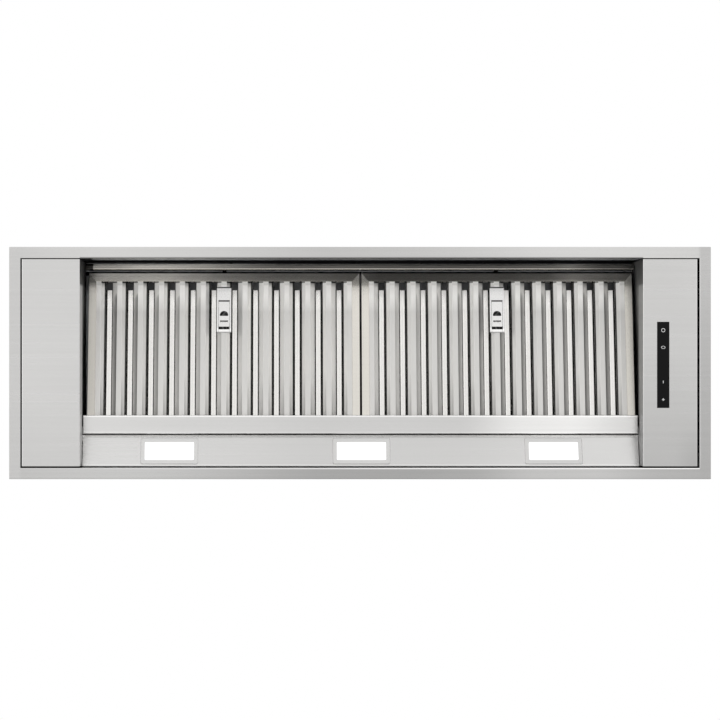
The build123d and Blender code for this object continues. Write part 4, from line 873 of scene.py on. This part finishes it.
# Finishes, one for each kind of sheet or moulding
finish = {
    "flange": brushedSteel("flangeSteel", flangeLook["level"], flangeShade, flangeDull),
    "leftCover": brushedSteel(
        "leftCoverSteel", coverLook["left_side_cover"]["level"], coverShade("left_side_cover")
    ),
    "rightCover": brushedSteel(
        "rightCoverSteel", coverLook["control_side_cover"]["level"], coverShade("control_side_cover")
    ),
    "restRail": brushedSteel(
        "restRailSteel", railLook["level"], railShade("rest_rail", railLook["restGlow"])
    ),
    "lightRail": brushedSteel("lightRailSteel", railLook["level"], railShade("light_rail")),
    "lip": brushedSteel("lipSteel", lipLook["level"], lipShade, tint="shadedTint"),
    "wall": brushedSteel(
        "wallSteel",
        wallLook["level"],
        wallShade,
        alongY=True,
        rough=wallLook["rough"],
        metal=wallLook["metal"],
    ),
    "front": galvanised("frontSheet", zincLook["frontSheet"], shade=frontShade, dull=frontDull),
    "zinc": galvanised("zincSheet", zincLook["sheet"]),
    "deck": galvanised("deckSheet", zincLook["sheet"], shade=deckShade),
    "fastener": brushedSteel("fastenerSteel", **plainLook["fastener"]),
    "rivet": brushedSteel("rivetSteel", shade=rivetShade, **plainLook["fastener"]),
    "spring": brushedSteel("springSteel", **plainLook["spring"]),
    "cast": galvanised("castAluminium", zincLook["cast"], rough=(0.4, 0.55)),
    "bezel": brushedSteel("bezelSatin", **plainLook["bezel"]),
    "housing": galvanised("lampHousing", zincLook["housing"]),
    "board": circuitBoard("circuitBoard"),
    "black": moulded("blackMoulding", mouldedLook["plastic"], rough=(0.42, 0.6)),
    "rubber": moulded("bushRubber", mouldedLook["rubber"], rough=(0.6, 0.8)),
    "glass": blackGlass("touchGlass"),
    "lens": litDiffuser("lampLens"),
}
for side in ("left", "right"):
    finish[side + "Latch"] = brushedSteel(
        side + "LatchSteel", latchLook["level"], latchShade(side, latchLook["plateLine"])
    )
    finish[side + "Slider"] = brushedSteel(side + "SliderSteel", latchLook["level"], sliderShade(side))
    finish[side + "Filter"] = brushedSteel(
        side + "FilterSteel",
        filterLook["level"],
        filterShade(side),
        rough=filterLook["rough"],
        tint="shadedTint",
    )
    finish[side + "Baffle"] = brushedSteel(
        side + "BaffleSteel",
        baffleLook["level"],
        baffleShade(side),
        baffleDull(side),
        alongY=True,
        rough=baffleLook["rough"],
        tint="warmTint",
    )
    finish[side + "RearBaffle"] = brushedSteel(
        side + "RearBaffleSteel",
        rearBaffleLook["level"],
        rearBaffleShade(side),
        alongY=True,
        rough=rearBaffleLook["rough"],
        tint="warmTint",
    )

# Each node takes its own finish where it has one, and otherwise that of its material
slotFinish = {
    "galvanised_sheet": "zinc",
    "zinc_fasteners": "fastener",
    "spring_steel": "spring",
    "cast_aluminium": "cast",
    "black_glass": "glass",
    "lamp_lens": "lens",
    "lamp_bezel": "bezel",
    "lamp_housing": "housing",
    "circuit_board": "board",
    "black_plastic": "black",
    "bush_rubber": "rubber",
}
nodeFinish = {
    "canopy_frame": "flange",
    "left_side_cover": "leftCover",
    "control_side_cover": "rightCover",
    "rest_rail": "restRail",
    "light_rail": "lightRail",
    "lip_rail": "lip",
    "left_box_wall": "wall",
    "right_box_wall": "wall",
    "front_panel": "front",
    "deck_plate": "deck",
    "blind_rivets": "rivet",
}
for side in ("left", "right"):
    nodeFinish[side + "_filter_frame"] = side + "Filter"
    nodeFinish[side + "_front_baffles"] = side + "Baffle"
    nodeFinish[side + "_rear_baffles"] = side + "RearBaffle"
    nodeFinish[side + "_latch_plate"] = side + "Latch"
    nodeFinish[side + "_latch_slider"] = side + "Slider"
for subpart in frame["record"]["subparts"]:
    node = subpart["node"]
    kind = nodeFinish.get(node) or slotFinish[subpart["material_slot"]]
    slots = frame["nodes"][node].data.materials
    slots.clear()
    slots.append(finish[kind])
print("finishes on the frame's nodes")

# The latch springs: a copy of the frame's zigzag leaf, carried with its filter
travel = Vector((0, cos(filterPlane["tilt"]), -sin(filterPlane["tilt"])))
for side in ("left", "right"):
    spring = frame["nodes"][side + "_latch_spring"]
    leaf = bpy.data.objects.new(side + "_spring_leaf", spring.data.copy())
    bpy.context.collection.objects.link(leaf)
    heldEnd = max((point.co for point in leaf.data.vertices), key=travel.dot).copy()
    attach(leaf, side + "_filter")
    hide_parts(side + "_latch_spring")
    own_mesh(leaf)
print("latch springs")


# Symbols printed on the touch glass: plain marks for power, lamp, less and more
markLook = {
    "power": {"y": -0.0573, "width": 0.0056, "length": 0.0056, "line": 0.0009},
    "lamp": {"y": -0.0289, "width": 0.0060, "length": 0.0042, "line": 0.0009},
    "less": {"y": 0.0282, "width": 0.0010, "length": 0.0044},
    "more": {"y": 0.0573, "width": 0.0012, "length": 0.0042},
    "moreBar": {"y": 0.0573, "width": 0.0042, "length": 0.0012},
}
printLook = {
    "speckle": 3000.0,
    "rough": 0.5,
    "glow": 0.25,
    "surface": ((0.42, 0.42, 0.42), (0.55, 0.55, 0.55)),
    "light": ((0.6, 0.6, 0.6), (0.8, 0.8, 0.8)),
    "thickness": 0.00004,
    "ringFlat": 0.04,
    "ringSteps": 48,
    "ringSides": 6,
    "cornerShare": 0.3,
    "cornerSteps": 2,
}
glassLow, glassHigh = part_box("touch_glass")
glassX = (glassLow[0] + glassHigh[0]) / 2
glassY = (glassLow[1] + glassHigh[1]) / 2
glassFace = glassLow[2] - printLook["thickness"]
# the printed marks get a faint emission: a painted glow, since the print holds no lamp
markMaterial, markShader, markPlace = newMaterial(
    "printedMark", Roughness=printLook["rough"], Emission_Strength=printLook["glow"]
)
markSpeckle = markPlace.noise(printLook["speckle"])
plug(markShader, "Base Color", markSpeckle.tint(*printLook["surface"]))
plug(markShader, "Emission Color", markSpeckle.tint(*printLook["light"]))


def finishMark(piece, name):
    piece.name = name
    piece.data.name = name
    piece.data.materials.append(markMaterial)
    bpy.ops.object.transform_apply(location=True, rotation=True, scale=True)
    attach(piece, "hood")


def ringMark(name, y, width, length, line):
    # a thin ring, pressed flat, and drawn to an oval where its sides differ
    bpy.ops.object.select_all(action="DESELECT")
    bpy.ops.mesh.primitive_torus_add(
        major_radius=width / 2,
        minor_radius=line / 2,
        major_segments=printLook["ringSteps"],
        minor_segments=printLook["ringSides"],
        location=(glassX, glassY + y, glassFace),
    )
    piece = bpy.context.object
    piece.scale = (1, length / width, printLook["ringFlat"])
    finishMark(piece, name)


def barMark(name, y, width, length):
    # a short bar with its corners rounded off
    bpy.ops.object.select_all(action="DESELECT")
    bpy.ops.mesh.primitive_cube_add(size=1, location=(glassX, glassY + y, glassFace))
    piece = bpy.context.object
    piece.scale = (width, length, printLook["thickness"])
    bpy.ops.object.transform_apply(location=False, rotation=False, scale=True)
    bpy.ops.object.mode_set(mode="EDIT")
    bpy.ops.mesh.select_all(action="SELECT")
    corner = min(width, length) * printLook["cornerShare"]
    bpy.ops.mesh.bevel(offset=corner, segments=printLook["cornerSteps"], affect="VERTICES")
    bpy.ops.object.mode_set(mode="OBJECT")
    finishMark(piece, name)


ringMark("markPower", **markLook["power"])
ringMark("markLamp", **markLook["lamp"])
barMark("markLess", **markLook["less"])
barMark("markMore", **markLook["more"])
barMark("markMoreBar", **markLook["moreBar"])
print("marks on the touch glass")


# Floor, light and the photograph's view from straight below
studioLook = {
    "floorSize": 60,
    "floorDrop": 5.2,
    "floorColours": ((0.88, 0.88, 0.88), (0.91, 0.91, 0.91)),
    "floorClouds": 0.8,
    "floorRough": 0.9,
    "worldLight": 1.12,
    "background": 1.0,
    "frameWidth": 1.1905,
    "cameraX": -0.1157,
    "cameraY": 0.020,
    "cameraDrop": 4.5,
    "cameraSensor": 36.0,
    "cameraReach": 100.0,
    "viewX": 0.0,
    "viewY": -0.005,
}
bpy.ops.object.select_all(action="DESELECT")
bpy.ops.mesh.primitive_plane_add(size=studioLook["floorSize"], location=(0, 0, -studioLook["floorDrop"]))
floor = bpy.context.object
floor.name = "paleFloor"
floorMaterial, floorShader, floorPlace = newMaterial("paleFloor", Roughness=studioLook["floorRough"])
plug(floorShader, "Base Color", floorPlace.noise(studioLook["floorClouds"]).tint(*studioLook["floorColours"]))
floor.data.materials.append(floorMaterial)

world = bpy.data.worlds.new("paleStudio")
bpy.context.scene.world = world
world.use_nodes = True
back = world.node_tree.nodes["Background"]
lightPath = world.node_tree.nodes.new("ShaderNodeLightPath")
cameraRay, glossyRay, throughRay = [
    Wire(world.node_tree, lightPath.outputs[name])
    for name in ("Is Camera Ray", "Is Glossy Ray", "Is Transmission Ray")
]
seen = cameraRay.maths("MAXIMUM", cameraRay.maths("MAXIMUM", cameraRay, glossyRay), throughRay)
worldColour = seen.tint((studioLook["worldLight"],) * 3, (studioLook["background"],) * 3)
world.node_tree.links.new(worldColour.output, back.inputs["Color"])
back.inputs["Strength"].default_value = 1.0

bpy.ops.object.camera_add(
    location=(studioLook["cameraX"], studioLook["cameraY"], -studioLook["cameraDrop"]), rotation=(pi, 0, 0)
)
camera = bpy.context.object
camera.name = "photoCamera"
camera.data.sensor_width = studioLook["cameraSensor"]
camera.data.lens = studioLook["cameraSensor"] * studioLook["cameraDrop"] / studioLook["frameWidth"]
camera.data.shift_x = (studioLook["viewX"] - studioLook["cameraX"]) / studioLook["frameWidth"]
camera.data.shift_y = (studioLook["cameraY"] - studioLook["viewY"]) / studioLook["frameWidth"]
camera.data.clip_end = studioLook["cameraReach"]
bpy.context.scene.camera = camera
bpy.context.scene.view_settings.view_transform = "Standard"
print("floor, light and camera")
